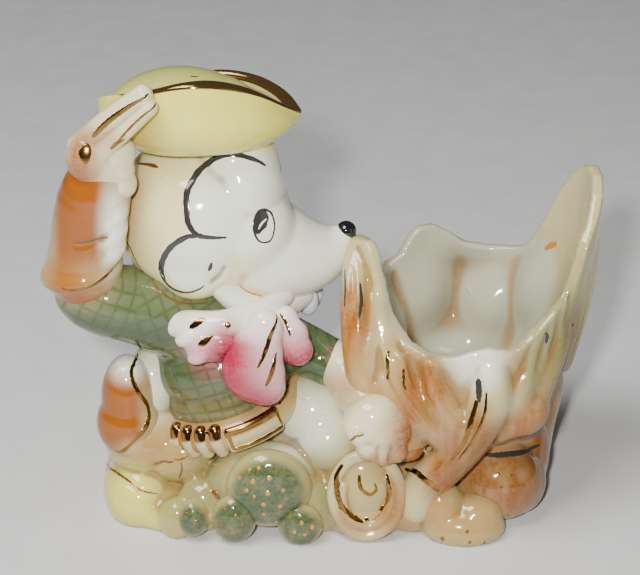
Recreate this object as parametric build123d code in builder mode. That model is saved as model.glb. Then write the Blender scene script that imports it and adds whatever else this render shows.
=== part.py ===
"""Glazed ceramic cowboy-mouse bank beside a hollow tree stump, in the row frame.

The figure is an assembly of slip castings luted together before firing: a hollow base,
hips, torso and head that form the coin chamber, a hat, arms, legs and bandana, a stump
with an open pocket, and a rubber stopper in the underside.  Millimetres, +Z up, X along
the length with the figure at -X, the front at -Y, origin on the floor under the middle.
"""

import os
from math import cos, radians, sin

from build123d import *

os.makedirs("parts", exist_ok=True)

# ---------------------------------------------------------------- driving dimensions
HALF_DEPTH = 49.5        # front and back lobes of the ground
GROUND_HEIGHT = 15.0     # deck of the ground casting
WALL = 4.5               # cast wall
HOLE_RADIUS = 15.5       # coin outlet in the underside
RECESS_RADIUS = 19.5     # pocket that keeps the stopper's lip off the table
RECESS_DEPTH = 3.5
WELL_FLOOR = 7.5         # top of the web round the outlet
SLOT_LENGTH = 33.0       # coin slot across the back of the shirt
SLOT_HEIGHT = 4.8
BODY_TILT = 18.0         # the torso leans back from the stump by this many degrees
FIGURE_Y = -4.0          # middle plane of head and torso
FUSE_GAP = 0.35          # free space round the one piece that moves

OUTLET = (-34.0, 0.0)                      # axis of the coin outlet
BELT_CENTRE = Vector(-31.0, FIGURE_Y, 35)  # middle of the belt line
UP_BODY = Vector(-sin(radians(BODY_TILT)), 0, cos(radians(BODY_TILT)))
ACROSS_BODY = Vector(cos(radians(BODY_TILT)), 0, sin(radians(BODY_TILT)))


# ---------------------------------------------------------------- small helpers
def oval(centre, axis, half_y, half_other):
    """Elliptical loft station square to axis, half_y wide along Y."""
    square = Plane(origin=centre, x_dir=(0, 1, 0), z_dir=axis)
    with BuildSketch(square) as station:
        Ellipse(half_y, half_other)
    return station.sketch


def lump(centre, radii, turn=(0, 0, 0)):
    """Egg of clay: ovals stacked along Z, closed by small flats top and bottom."""
    rings = []
    for share in (-0.97, -0.78, -0.4, 0, 0.4, 0.78, 0.97):
        spread = (1 - share ** 2) ** 0.5
        rings.append(oval((0, 0, radii[2] * share), (0, 0, 1), radii[1] * spread, radii[0] * spread))
    return Location(centre, turn) * loft(rings, mode=Mode.PRIVATE)


def tube_loft(stations):
    """Loft through (centre, radius) stations whose planes follow the path."""
    centres = [Vector(*centre) for centre, _ in stations]
    sections = []
    for i, (_, radius) in enumerate(stations):
        ahead = centres[min(i + 1, len(centres) - 1)]
        behind = centres[max(i - 1, 0)]
        with BuildSketch(Plane(origin=centres[i], z_dir=ahead - behind)) as station:
            Circle(radius)
        sections.append(station.sketch)
    return sections


def trim(*others):
    """Cut the block in progress back from the pieces that it is luted to."""
    for other in others:
        add(other.part, mode=Mode.SUBTRACT)


def keep(block, name):
    """Drop the crumbs left by cutting, label the piece and write it to its own file."""
    solids = block.part.solids()
    smallest = max(solid.volume for solid in solids) / 50
    piece = Part() + [solid for solid in solids if solid.volume > smallest]
    piece.label = name
    block.part = piece
    export_step(piece, f"parts/{name}.step")


# ---------------------------------------------------------------- ground casting
GROUND_OUTLINE = [
    (-79, -14), (-69, -36), (-50, -39), (-32, -40), (-14, -36), (6, -38), (18, -41), (31, -37),
    (46, -44), (62, -41), (73, -20), (78, 4), (73, 28), (52, 45), (24, HALF_DEPTH - 0.9),
    (-4, 44), (-34, HALF_DEPTH - 0.6), (-62, 40), (-77, 16),
]
with BuildPart() as ground_form:
    with BuildSketch():
        with BuildLine():
            Spline(*GROUND_OUTLINE, periodic=True)
        make_face()
    extrude(amount=GROUND_HEIGHT)
    fillet(ground_form.faces().sort_by(Axis.Z)[-1].edges(), 3.5)

with BuildPart() as ground_base:
    add(ground_form.part)
    with BuildSketch(Plane.XY.offset(WELL_FLOOR)):
        with Locations(OUTLET):
            Circle(HOLE_RADIUS + 6.5)
    extrude(amount=GROUND_HEIGHT, mode=Mode.SUBTRACT)
    with BuildSketch():
        with Locations(OUTLET):
            Circle(HOLE_RADIUS)
    extrude(amount=GROUND_HEIGHT, mode=Mode.SUBTRACT)
    with BuildSketch():
        with Locations(OUTLET):
            Circle(RECESS_RADIUS)
    extrude(amount=RECESS_DEPTH, mode=Mode.SUBTRACT)
    with BuildSketch():
        with Locations((44, 0)):
            Ellipse(27, 32)
    extrude(amount=GROUND_HEIGHT - 6, mode=Mode.SUBTRACT)
keep(ground_base, "ground_base")

# ---------------------------------------------------------------- rubber stopper
with BuildPart() as rubber_stopper:
    with BuildSketch(Plane.XZ) as half:
        with BuildLine():
            Polyline(
                (0, 1.0), (RECESS_RADIUS - 1.5, 1.0), (RECESS_RADIUS - 1.2, 1.6),
                (RECESS_RADIUS - 1.5, RECESS_DEPTH - FUSE_GAP),
                (HOLE_RADIUS - FUSE_GAP, RECESS_DEPTH - FUSE_GAP),
                (HOLE_RADIUS - FUSE_GAP, WELL_FLOOR + 0.5),
                (HOLE_RADIUS - 1.5, WELL_FLOOR + 3.5), (HOLE_RADIUS - 4.5, WELL_FLOOR + 3.5),
                (HOLE_RADIUS - 5.0, 3.5), (0, 3.5), close=True,
            )
        make_face()
    revolve(axis=Axis.Z)
rubber_stopper.part = rubber_stopper.part.moved(Location((OUTLET[0], OUTLET[1], 0)))
keep(rubber_stopper, "rubber_stopper")


# ---------------------------------------------------------------- torso and hips
def body_point(along, across=0.0, back=0.0):
    """Point on the tilted body: along its axis from the belt, across it and backwards."""
    return BELT_CENTRE + UP_BODY * along + ACROSS_BODY * across + Vector(0, back, 0)


TORSO_STATIONS = [(-8, 25, 20), (0, 30, 23.5), (12, 30.5, 24), (26, 27, 22), (38, 22, 18), (47, 16, 13)]
with BuildPart() as torso_form:
    loft([oval(body_point(s), UP_BODY, y, x) for s, y, x in TORSO_STATIONS])

with BuildPart() as torso:
    add(torso_form.part)
    loft(
        [oval(body_point(s), UP_BODY, y - WALL, x - WALL) for s, y, x in TORSO_STATIONS],
        mode=Mode.SUBTRACT,
    )
    with Locations((BELT_CENTRE.X - 8.5, FIGURE_Y + 27, 62)):
        Box(SLOT_LENGTH, 30, SLOT_HEIGHT, mode=Mode.SUBTRACT)
keep(torso, "torso")

# The hips rise a hair past the torso's lowest station, and their hollow runs on past both ends.
HIP_STATIONS = [(GROUND_HEIGHT, -34, 25, 24), (21, -33, 26, 23)]
with BuildPart() as hips_form:
    loft(
        [oval((x, -2, z), (0, 0, 1), ry, rx) for z, x, ry, rx in HIP_STATIONS]
        + [oval(body_point(-8.1), UP_BODY, 25, 20)]
    )

with BuildPart() as hip_hollow:
    loft(
        [oval((x, -2, z), (0, 0, 1), ry - WALL, rx - WALL)
         for z, x, ry, rx in ((GROUND_HEIGHT - 2, -34, 25, 24), (21, -33, 26, 23))]
        + [oval(body_point(-6), UP_BODY, 25 - WALL, 20 - WALL)]
    )

with BuildPart() as hips:
    add(hips_form.part)
    trim(hip_hollow)
keep(hips, "hips")

# ---------------------------------------------------------------- belt, cartridges, buckle
BELT_HEIGHT = 9.0
BELT_STANDS = 1.8


def belt_point(angle, out, along=0.0):
    """Point round the belt at this angle, standing out from the shirt."""
    turn = radians(angle)
    return body_point(along, (23.8 + out) * cos(turn), (30.2 + out) * sin(turn))


with BuildPart() as cartridge_belt:
    loft([oval(body_point(s), UP_BODY, 30.2 + BELT_STANDS, 23.8 + BELT_STANDS)
          for s in (-BELT_HEIGHT / 2, BELT_HEIGHT / 2)])
    add(torso_form.part, mode=Mode.SUBTRACT)
keep(cartridge_belt, "cartridge_belt")

CARTRIDGE_ANGLES = (-143, -131, -119, -107, -95)
with BuildPart() as cartridges:
    for angle in CARTRIDGE_ANGLES:
        foot = belt_point(angle, BELT_STANDS + 0.4, -4.2)
        with BuildSketch(Plane(origin=foot, z_dir=UP_BODY)) as round_end:
            Circle(1.9)
        extrude(round_end.sketch, amount=8.4)
    add(cartridge_belt.part, mode=Mode.SUBTRACT)
    add(torso_form.part, mode=Mode.SUBTRACT)
keep(cartridges, "cartridges")

BUCKLE_ANGLE = -72
with BuildPart() as belt_buckle:
    outward = belt_point(BUCKLE_ANGLE, 6) - belt_point(BUCKLE_ANGLE, 0)
    buckle_plane = Plane(origin=belt_point(BUCKLE_ANGLE, -0.5), x_dir=UP_BODY, z_dir=outward)
    with BuildSketch(buckle_plane) as frame_outline:
        Rectangle(10, 13)
    extrude(frame_outline.sketch, amount=4.0)
    add(cartridge_belt.part, mode=Mode.SUBTRACT)
    add(torso_form.part, mode=Mode.SUBTRACT)
    add(cartridges.part, mode=Mode.SUBTRACT)
keep(belt_buckle, "belt_buckle")
belt_set = (torso_form, cartridge_belt, cartridges, belt_buckle)

# ---------------------------------------------------------------- stump with the open pocket
NOSE_CENTRE = (6.4, FIGURE_Y, 93.6)
STUMP_OUTER = [
    (GROUND_HEIGHT, 47, 1, 30, 27), (28, 46, 0, 33, 31), (45, 46, 0, 38, 36.5), (66, 46.5, 0, 40, 38.5),
    (92, 49, 0, 40, 41), (116, 49.3, 0, 38, 40),
]
STUMP_FLOOR = 27.0
STUMP_INNER = [
    (STUMP_FLOOR, 46, 0, 22, 20), (33, 46, 0, 30, 27.5), (45, 46, 0, 33.5, 32), (66, 46.5, 0, 35.5, 34),
    (92, 49, 0, 35.5, 36.5), (117, 49.3, 0, 33.5, 35.5),
]
FRONT_RIM = [
    (8, 96), (13, 96), (14.5, 87), (17, 77), (21, 70), (26, 66.5), (33, 65.5), (41, 67), (50, 66),
    (57, 65.5), (64, 68.5), (72, 71), (78, 75), (79, 81), (78.5, 87), (81, 94), (85, 103), (87, 110),
    (87.5, 112.5), (96, 110),
]
BACK_RIM = [
    (6, 80), (15, 78), (21, 75), (26, 75), (33, 80), (40, 78), (48, 73), (56, 71), (65, 70.5),
    (71, 71), (75, 82), (79, 98), (83, 108), (88, 113), (96, 111),
]
SKY = 175.0


def above(rim, mid_y, depth):
    """Everything above a rim line, on one side of the stump's middle plane."""
    with BuildSketch(Plane.XZ.offset(-mid_y)) as sky:
        with BuildLine():
            line = Spline(*rim)
            Polyline(line @ 1, (line @ 1) + Vector(0, SKY - (line @ 1).Y),
                     Vector((line @ 0).X, SKY), line @ 0)
        make_face()
    return extrude(sky.sketch, amount=depth, mode=Mode.PRIVATE)


with BuildPart() as stump_form:
    loft([oval((x, y, z), (0, 0, 1), ry, rx) for z, x, y, ry, rx in STUMP_OUTER])
    add(above(FRONT_RIM, 0, 60), mode=Mode.SUBTRACT)
    add(above(BACK_RIM, 0, -60), mode=Mode.SUBTRACT)
    with Locations(NOSE_CENTRE):
        Sphere(5.2, mode=Mode.SUBTRACT)

with BuildPart() as stump_pocket:
    add(stump_form.part)
    loft([oval((x, y, z), (0, 0, 1), ry, rx) for z, x, y, ry, rx in STUMP_INNER], mode=Mode.SUBTRACT)
keep(stump_pocket, "stump_pocket")


# ---------------------------------------------------------------- head, jaw, teeth, nose
HEAD_TOP = 132.0
SKULL = Vector(-41, FIGURE_Y, 108)
SKULL_RADII = (25, 28, 31)
MUZZLE_STATIONS = [
    (-30, 92, 22, 20), (-15, 85.5, 18, 14.5), (-6, 83.5, 13.5, 11.5), (0, 86.5, 8, 8),
    (4, 90.5, 4, 4.2),
]
with BuildPart() as head_form:
    add(lump(SKULL, SKULL_RADII))
    for side in (-1, 1):
        add(lump((-38, FIGURE_Y + side * 13, 93), (18, 15, 17)))
    loft([oval((x, FIGURE_Y, z), (1, 0, 0.12), ry, rz) for x, z, ry, rz in MUZZLE_STATIONS])
    split(bisect_by=Plane.XY.offset(HEAD_TOP), keep=Keep.BOTTOM)
    trim(torso_form)

with BuildPart() as head:
    add(head_form.part)
    add(lump(SKULL, [r - WALL for r in SKULL_RADII]), mode=Mode.SUBTRACT)
    with BuildSketch(Plane.XY.offset(60)) as vent:
        with Locations((body_point(47).X + 2, FIGURE_Y)):
            Circle(7)
    extrude(vent.sketch, amount=40, mode=Mode.SUBTRACT)
keep(head, "head")

with BuildPart() as lower_jaw:
    add(lump((-22, FIGURE_Y - 2, 76), (12.5, 17, 8.5)))
    trim(head_form, torso_form)
keep(lower_jaw, "lower_jaw")

with BuildPart() as front_teeth:
    for side in (-1, 1):
        add(lump((-5.5, FIGURE_Y + side * 2.6, 71), (3.4, 2.5, 6)))
    trim(head_form, lower_jaw)
keep(front_teeth, "front_teeth")

with BuildPart() as nose:
    add(lump(NOSE_CENTRE, (3.6, 3.6, 3.6)))
    trim(head_form)
keep(nose, "nose")

# ---------------------------------------------------------------- hat
CROWN = Vector(-44, -2, 136)
CROWN_RADII = (24.5, 25, 18)
with BuildPart() as crown_form:
    add(lump(CROWN, CROWN_RADII))
    split(bisect_by=Plane.XY.offset(HEAD_TOP), keep=Keep.TOP)

with BuildPart() as hat_crown:
    add(crown_form.part)
    add(lump(CROWN, [r - WALL for r in CROWN_RADII]), mode=Mode.SUBTRACT)
keep(hat_crown, "hat_crown")

BRIM_WALL = 3.4
BRIM_STATIONS = [(125, -62, -14, 24.5), (134, -66, -11, 27), (146, -69, -7, 29), (160, -71, -4, 31)]
BRIM_EDGE = [
    (-80, 143), (-66, 148), (-52, 153.5), (-40, 156), (-28, 154.5), (-19, 148.5), (-11, 141),
    (-5, 135.5), (2, 132),
]


def brim_outline(height, back_x, front_x, half_width):
    """Plan of the brim at one height: round behind, drawn out to a point in front."""
    length = front_x - back_x
    near = [(back_x + length * share, FIGURE_Y - half_width * wide)
            for share, wide in ((0.09, 0.62), (0.36, 1.0), (0.66, 0.84), (0.89, 0.34))]
    far = [(x, 2 * FIGURE_Y - y) for x, y in reversed(near)]
    with BuildSketch(Plane.XY.offset(height)) as plan:
        with BuildLine():
            Spline((back_x, FIGURE_Y), *near, (front_x, FIGURE_Y), *far, periodic=True)
        make_face()
    return plan.sketch


with BuildPart() as hat_brim:
    loft([brim_outline(*s) for s in BRIM_STATIONS])
    loft(
        [brim_outline(height, back + BRIM_WALL, front - BRIM_WALL * 1.6, half - BRIM_WALL)
         for height, back, front, half in BRIM_STATIONS],
        mode=Mode.SUBTRACT,
    )
    add(above(BRIM_EDGE, FIGURE_Y, 50), mode=Mode.SUBTRACT)
    add(above(BRIM_EDGE, FIGURE_Y, -50), mode=Mode.SUBTRACT)
    trim(head_form, crown_form)
keep(hat_brim, "hat_brim")

# ---------------------------------------------------------------- raised arm
RIGHT_ARM = [((-50, -14, 62), 12), ((-60, -17, 67), 12.5), ((-72, -20, 76), 12.5), ((-79, -20, 87), 11)]
RIGHT_CUFF = [
    ((-79, -20, 84.5), 13.5), ((-77.5, -20, 98), 12.8), ((-74.5, -20, 110), 12.2), ((-71.5, -21, 121), 9),
]
with BuildPart() as right_sleeve:
    loft(tube_loft(RIGHT_ARM))
    trim(torso_form, head_form)
keep(right_sleeve, "right_sleeve")

with BuildPart() as right_gauntlet:
    loft(tube_loft(RIGHT_CUFF))
    trim(right_sleeve, head_form)
keep(right_gauntlet, "right_gauntlet")

with BuildPart() as right_palm:
    add(lump((-70.5, -22, 127), (9.5, 8.5, 11)))
    trim(right_gauntlet, head_form, hat_brim, crown_form)
keep(right_palm, "right_palm")

FINGERS = [((-73.5, -26, 136), (-56.5, -29.6, 152.4)), ((-68.5, -27.5, 133.5), (-53, -32, 148.5))]
with BuildPart() as right_fingers:
    for root, tip in FINGERS:
        reach = Vector(*tip) - Vector(*root)
        stations = [(Vector(*root) + reach * share, radius)
                    for share, radius in ((0, 3.7), (0.5, 3.5), (0.92, 3.1), (1.06, 1.8))]
        loft(tube_loft(stations))
    trim(right_palm, head_form, hat_brim, crown_form, right_gauntlet)
keep(right_fingers, "right_fingers")

with BuildPart() as right_thumb:
    add(lump((-74.5, -28, 130), (5.5, 5, 7), (0, 25, 0)))
    trim(right_palm, right_fingers, right_gauntlet)
keep(right_thumb, "right_thumb")

# ---------------------------------------------------------------- legs
with BuildPart() as right_leg:
    add(lump((-57, -14, 31), (17, 15, 17)))
    trim(hips_form, ground_form, *belt_set)
keep(right_leg, "right_leg")

with BuildPart() as right_chap:
    add(lump((-67, -22, 36), (9.5, 10.5, 18.5), (0, 6, 0)))
    trim(right_leg, hips_form, ground_form, right_sleeve)
keep(right_chap, "right_chap")

with BuildPart() as right_boot:
    add(lump((-60.5, -21, 5), (18.5, 19, 15)))
    split(bisect_by=Plane.XY, keep=Keep.TOP)
    trim(ground_form, right_leg, right_chap, hips_form)
keep(right_boot, "right_boot")

with BuildPart() as left_leg:
    add(lump((-5, -20, 31), (20, 18, 16), (0, 12, 0)))
    trim(hips_form, ground_form, stump_form, *belt_set)
keep(left_leg, "left_leg")

# ---------------------------------------------------------------- lowered arm
with BuildPart() as left_sleeve:
    loft(tube_loft([((-18, -16, 66), 9.5), ((-6, -20, 61), 9.5), ((4, -23, 56), 8.5)]))
    trim(head_form, lower_jaw, stump_form, left_leg, *belt_set)
keep(left_sleeve, "left_sleeve")

with BuildPart() as left_gauntlet:
    loft(tube_loft([((3, -24, 57.5), 10.5), ((9, -30, 52.5), 9.5), ((13, -36, 47), 8)]))
    trim(left_sleeve, stump_form, left_leg, head_form, lower_jaw)
keep(left_gauntlet, "left_gauntlet")

with BuildPart() as left_fist:
    add(lump((15.5, -39, 41), (9.5, 8, 10.5)))
    trim(left_gauntlet, left_leg, stump_form, ground_form)
keep(left_fist, "left_fist")

# ---------------------------------------------------------------- bandana
with BuildPart() as bandana_collar:
    loft([oval(body_point(s), UP_BODY, y, x) for s, y, x in ((35, 26, 21.5), (41, 25, 20.5), (46, 21, 17))])
    trim(head_form, lower_jaw, right_sleeve, left_sleeve, *belt_set)
keep(bandana_collar, "bandana_collar")

with BuildPart() as bandana_knot:
    add(lump((-36, -30, 76), (9, 5, 5.5), (0, 20, 0)))
    trim(bandana_collar, head_form, lower_jaw, right_sleeve, *belt_set)
keep(bandana_knot, "bandana_knot")

with BuildPart() as bandana_near_tail:
    add(lump((-22, -34, 64), (9.5, 5.5, 14), (0, -12, 0)))
    trim(bandana_collar, bandana_knot, head_form, lower_jaw, left_sleeve, left_gauntlet, left_leg, *belt_set)
keep(bandana_near_tail, "bandana_near_tail")

with BuildPart() as bandana_far_tail:
    add(lump((-9, -29, 67), (6, 4.5, 9), (0, -25, 0)))
    trim(bandana_near_tail, bandana_collar, head_form, lower_jaw, front_teeth)
    trim(left_sleeve, left_gauntlet, *belt_set)
keep(bandana_far_tail, "bandana_far_tail")

# ---------------------------------------------------------------- cactus
with BuildPart() as cactus_large_pad:
    add(lump((-19, -40, 18), (16.5, 8, 17.5), (8, 0, 0)))
    split(bisect_by=Plane.XY, keep=Keep.TOP)
    trim(ground_form, hips_form, left_leg, right_leg, *belt_set)
keep(cactus_large_pad, "cactus_large_pad")

SMALL_PADS = [((-31, -44, 8), (9, 5.5, 10)), ((-45, -42, 6), (6.5, 5, 8)), ((-8, -44.5, 7), (9, 4.5, 9))]
with BuildPart() as cactus_small_pads:
    for centre, radii in SMALL_PADS:
        add(lump(centre, radii))
    split(bisect_by=Plane.XY, keep=Keep.TOP)
    trim(ground_form, cactus_large_pad, right_boot, right_leg)
keep(cactus_small_pads, "cactus_small_pads")

# ---------------------------------------------------------------- lasso
LASSO_CENTRE = Vector(13.5, -39.5, 15.5)
LASSO_PLANE = Plane(origin=LASSO_CENTRE, x_dir=(1, 0, 0), z_dir=(0, -1, 0.25))
ROPE_RADIUS = 1.7
with BuildPart() as lasso_back:
    with BuildSketch(LASSO_PLANE) as disc:
        Ellipse(12.5, 14)
    extrude(disc.sketch, amount=-8)
    trim(ground_form, left_leg, left_fist, stump_form, cactus_small_pads)
    split(bisect_by=Plane.XY, keep=Keep.TOP)
keep(lasso_back, "lasso_back")

with BuildPart() as lasso_rope:
    for reach in (8.4, 11.8):
        with Locations(LASSO_PLANE.offset(0.9)):
            Torus(reach, ROPE_RADIUS)
    split(bisect_by=Plane.XY.offset(0.2), keep=Keep.TOP)
    trim(lasso_back, ground_form, left_fist, left_leg, cactus_small_pads)
keep(lasso_rope, "lasso_rope")

# ---------------------------------------------------------------- roots and rocks
FRONT_ROOT = [
    ((42, -36, 61), 7), ((43, -38, 46), 8), ((38, -37, 31), 7.5), ((30, -36, 20), 7), ((26, -36, 12), 6),
]
with BuildPart() as front_root:
    loft(tube_loft(FRONT_ROOT))
    trim(stump_form, ground_form, left_fist, left_gauntlet, lasso_back, lasso_rope)
keep(front_root, "front_root")

with BuildPart() as side_root:
    add(lump((62, -30, 38), (11, 9, 11), (0, -15, 0)))
    trim(stump_form, front_root)
keep(side_root, "side_root")

with BuildPart() as back_root:
    loft(tube_loft([((77, 3, 48), 6), ((78, 5, 32), 8), ((76, 6, 16), 9), ((75, 6, 2), 9.5)]))
    split(bisect_by=Plane.XY, keep=Keep.TOP)
    trim(stump_form, ground_form, side_root)
keep(back_root, "back_root")

with BuildPart() as speckled_boulder:
    add(lump((61, -26, 12), (15, 14, 16)))
    split(bisect_by=Plane.XY, keep=Keep.TOP)
    trim(stump_form, ground_form, side_root, front_root, back_root)
keep(speckled_boulder, "speckled_boulder")

with BuildPart() as foot_rock:
    add(lump((47, -39.5, 3), (16, 10, 10)))
    split(bisect_by=Plane.XY, keep=Keep.TOP)
    trim(ground_form, speckled_boulder, front_root, stump_form, lasso_back, lasso_rope)
keep(foot_rock, "foot_rock")
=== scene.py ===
import math
import bpy
import numpy as np
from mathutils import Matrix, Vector
from mathutils.bvhtree import BVHTree


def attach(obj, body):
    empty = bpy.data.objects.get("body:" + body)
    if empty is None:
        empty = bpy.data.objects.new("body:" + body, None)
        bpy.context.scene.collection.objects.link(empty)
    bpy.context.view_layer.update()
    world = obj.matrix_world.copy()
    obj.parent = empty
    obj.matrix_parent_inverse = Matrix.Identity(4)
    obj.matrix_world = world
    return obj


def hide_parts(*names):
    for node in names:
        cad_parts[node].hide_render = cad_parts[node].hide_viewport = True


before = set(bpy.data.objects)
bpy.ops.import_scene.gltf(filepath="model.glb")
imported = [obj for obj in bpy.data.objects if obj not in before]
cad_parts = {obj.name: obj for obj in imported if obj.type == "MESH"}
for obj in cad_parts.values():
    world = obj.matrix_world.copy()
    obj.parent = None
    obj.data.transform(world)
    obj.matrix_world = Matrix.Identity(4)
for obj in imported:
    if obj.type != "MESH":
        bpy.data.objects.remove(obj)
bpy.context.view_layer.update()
MM = 0.001


# ---------------------------------------------------------------- camera, light and table
# A plain pale sweep under a large softbox, with one small bright lamp beside the camera whose
# reflections give the glaze its hard little highlights.
def aim(thing, at):
    thing.rotation_euler = (Vector(at) - thing.location).to_track_quat("-Z", "Y").to_euler()


def softbox(name, place, at, size, watts):
    lamp = bpy.data.lights.new(name, "AREA")
    lamp.shape = "RECTANGLE"
    lamp.size, lamp.size_y = size
    lamp.energy = watts
    holder = bpy.data.objects.new(name, lamp)
    bpy.context.scene.collection.objects.link(holder)
    holder.location = place
    aim(holder, at)


MIDDLE = (-0.002, 0.0, 0.072)
TILT = math.radians(27)
camera = bpy.data.objects.new("camera", bpy.data.cameras.new("camera"))
bpy.context.scene.collection.objects.link(camera)
camera.data.lens = 117.2
camera.data.clip_start = 0.02
camera.location = Vector(MIDDLE) + 0.700 * Vector((0, -math.cos(TILT), math.sin(TILT)))
aim(camera, MIDDLE)
bpy.context.scene.camera = camera

softbox("overhead_softbox", (-0.35, -0.25, 0.95), (0, 0, 0.05), (0.55, 0.4), 10.5)
softbox("side_fill", (0.9, -0.5, 0.45), (0, 0, 0.06), (0.5, 0.6), 0.6)
softbox("lamp_by_camera", (-0.06, -0.66, 0.46), (0, 0, 0.07), (0.04, 0.04), 7.5)
sky = bpy.data.worlds.new("studio")
sky.use_nodes = True
sky.node_tree.nodes["Background"].inputs[0].default_value = (0.78, 0.80, 0.84, 1)
sky.node_tree.nodes["Background"].inputs[1].default_value = 0.10
bpy.context.scene.world = sky


# ---------------------------------------------------------------- ground casting
# The rocky ground is the bottom half of the body mould: hollow slip-cast earthenware with a flat
# foot, airbrushed yellow and green in its hollows.  The coin outlet is cut through it.
def only(piece):
    bpy.ops.object.select_all(action="DESELECT")
    piece.select_set(True)
    bpy.context.view_layer.objects.active = piece


def egg(centre, radii, turn=(0, 0, 0)):
    """One egg of soft clay, in millimetres and degrees."""
    bpy.ops.object.select_all(action="DESELECT")
    bpy.ops.mesh.primitive_ico_sphere_add(
        subdivisions=4, radius=1, location=[c * MM for c in centre],
        rotation=[math.radians(a) for a in turn])
    lump = bpy.context.object
    lump.scale = [r * MM for r in ((radii,) * 3 if isinstance(radii, (int, float)) else radii)]
    return lump


def along(points, spacing):
    """Points and whatever follows them in each row, spread evenly along a smooth line."""
    rows = np.array(points, float)
    padded = np.vstack([2 * rows[0] - rows[1], rows, 2 * rows[-1] - rows[-2]])
    made = []
    for i in range(len(rows) - 1):
        a, b, c, d = padded[i:i + 4]
        count = max(2, int(np.linalg.norm((c - b)[:3]) / spacing))
        for t in np.arange(count) / count:
            made.append(0.5 * (2 * b + (c - a) * t + (2 * a - 5 * b + 4 * c - d) * t * t
                               + (3 * b - a - 3 * c + d) * t ** 3))
    made.append(rows[-1])
    return np.array(made)


def roll(points):
    """A rolled strand of clay through (x, y, z, radius) rows."""
    thin = min(p[3] for p in points)
    return [egg(row[:3], row[3]) for row in along(points, max(thin * 0.35, 0.7))]


def clay(name, eggs, grain=0.9, soften=8):
    """Presses the lumps into one closed skin and sponges its creases soft."""
    bpy.ops.object.select_all(action="DESELECT")
    for lump in eggs:
        lump.select_set(True)
    bpy.context.view_layer.objects.active = eggs[0]
    if len(eggs) > 1:
        bpy.ops.object.join()
    bpy.ops.object.transform_apply(location=True, rotation=True, scale=True)
    piece = bpy.context.object
    piece.name = piece.data.name = name
    skin = piece.modifiers.new("skin", "REMESH")
    skin.mode, skin.voxel_size, skin.use_smooth_shade = "VOXEL", grain * MM, True
    bpy.ops.object.modifier_apply(modifier="skin")
    if soften:
        sponge = piece.modifiers.new("sponge", "SMOOTH")
        sponge.factor, sponge.iterations = 0.5, soften
        bpy.ops.object.modifier_apply(modifier="sponge")
    return piece


def sponge(piece, rounds, where):
    """Sponges the clay softer where the function of millimetre places says so."""
    group = piece.vertex_groups.new(name="soft")
    wet = np.clip(where(vertices(piece) / MM), 0, 1)
    for level in range(1, 6):
        picked = np.flatnonzero(np.ceil(wet * 5) == level)
        if len(picked):
            group.add(picked.tolist(), level / 5, "REPLACE")
    only(piece)
    rub = piece.modifiers.new("rub", "SMOOTH")
    rub.factor, rub.iterations, rub.vertex_group = 0.5, rounds, "soft"
    bpy.ops.object.modifier_apply(modifier="rub")
    return piece


def vertices(piece):
    places = np.empty(len(piece.data.vertices) * 3)
    piece.data.vertices.foreach_get("co", places)
    return places.reshape(-1, 3)


def move(piece, places):
    piece.data.vertices.foreach_set("co", places.ravel())
    piece.data.update()


def stand(piece, height=0.0):
    """Rubs the underside flat on the bench."""
    places = vertices(piece)
    places[:, 2] = np.maximum(places[:, 2], height * MM)
    move(piece, places)
    return piece


def carve(piece, tools):
    """Cuts each tool out of the piece and removes the tools."""
    for tool in tools:
        only(piece)
        cut = piece.modifiers.new("cut", "BOOLEAN")
        cut.operation, cut.solver, cut.object = "DIFFERENCE", "EXACT", tool
        bpy.ops.object.modifier_apply(modifier="cut")
        bpy.data.objects.remove(tool)
    return piece


def press(piece, rows, depth):
    """Draws a round tool along (x, y, z, width) rows; a negative depth makes a groove."""
    line = along(rows, 1.0)
    places = vertices(piece)
    normals = np.empty(len(places) * 3, np.float32)
    piece.data.vertices.foreach_get("normal", normals)
    normals = normals.reshape(-1, 3)
    low, high = (line[:, :3] - line[:, 3:4] * 3).min(0) * MM, (line[:, :3] + line[:, 3:4] * 3).max(0) * MM
    near = np.flatnonzero(np.all((places > low) & (places < high), axis=1))
    if len(near) == 0:
        return piece
    gaps = np.linalg.norm(places[near][:, None] - line[None, :, :3] * MM, axis=2)
    pick = gaps.argmin(1)
    share = np.exp(-(gaps.min(1) / (line[pick, 3] * MM)) ** 2)
    ends = np.minimum(pick, len(line) - 1 - pick) / max(1.0, 0.2 * len(line))
    share *= np.clip(0.25 + ends, 0, 1)
    places[near] += normals[near] * (share * depth * MM)[:, None]
    move(piece, places)
    return piece


def build(name, points, faces):
    """A mesh object from points in metres and their faces."""
    mesh = bpy.data.meshes.new(name)
    mesh.from_pydata(points, [], faces)
    piece = bpy.data.objects.new(name, mesh)
    bpy.context.scene.collection.objects.link(piece)
    return piece


def face_outwards(piece):
    only(piece)
    bpy.ops.object.mode_set(mode="EDIT")
    bpy.ops.mesh.select_all(action="SELECT")
    bpy.ops.mesh.normals_make_consistent(inside=False)
    bpy.ops.object.mode_set(mode="OBJECT")


def mark_hollows(piece):
    """Stores how far each point lies below the skin around it, in millimetres, as "hollow"."""
    places, edges = vertices(piece), np.empty(len(piece.data.edges) * 2, np.int32)
    piece.data.edges.foreach_get("vertices", edges)
    a, b = edges[::2], edges[1::2]
    meetings = np.maximum(np.bincount(edges, minlength=len(places)), 1)[:, None]
    even = places.copy()
    for _ in range(14):
        even = np.column_stack([
            np.bincount(a, even[b, i], len(places)) + np.bincount(b, even[a, i], len(places))
            for i in range(3)
        ]) / meetings
    normals = np.empty(len(places) * 3, np.float32)
    piece.data.vertices.foreach_get("normal", normals)
    depth = ((even - places) * normals.reshape(-1, 3)).sum(1) / MM
    piece.data.attributes.new("hollow", "FLOAT", "POINT").data.foreach_set("value", depth)


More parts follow.
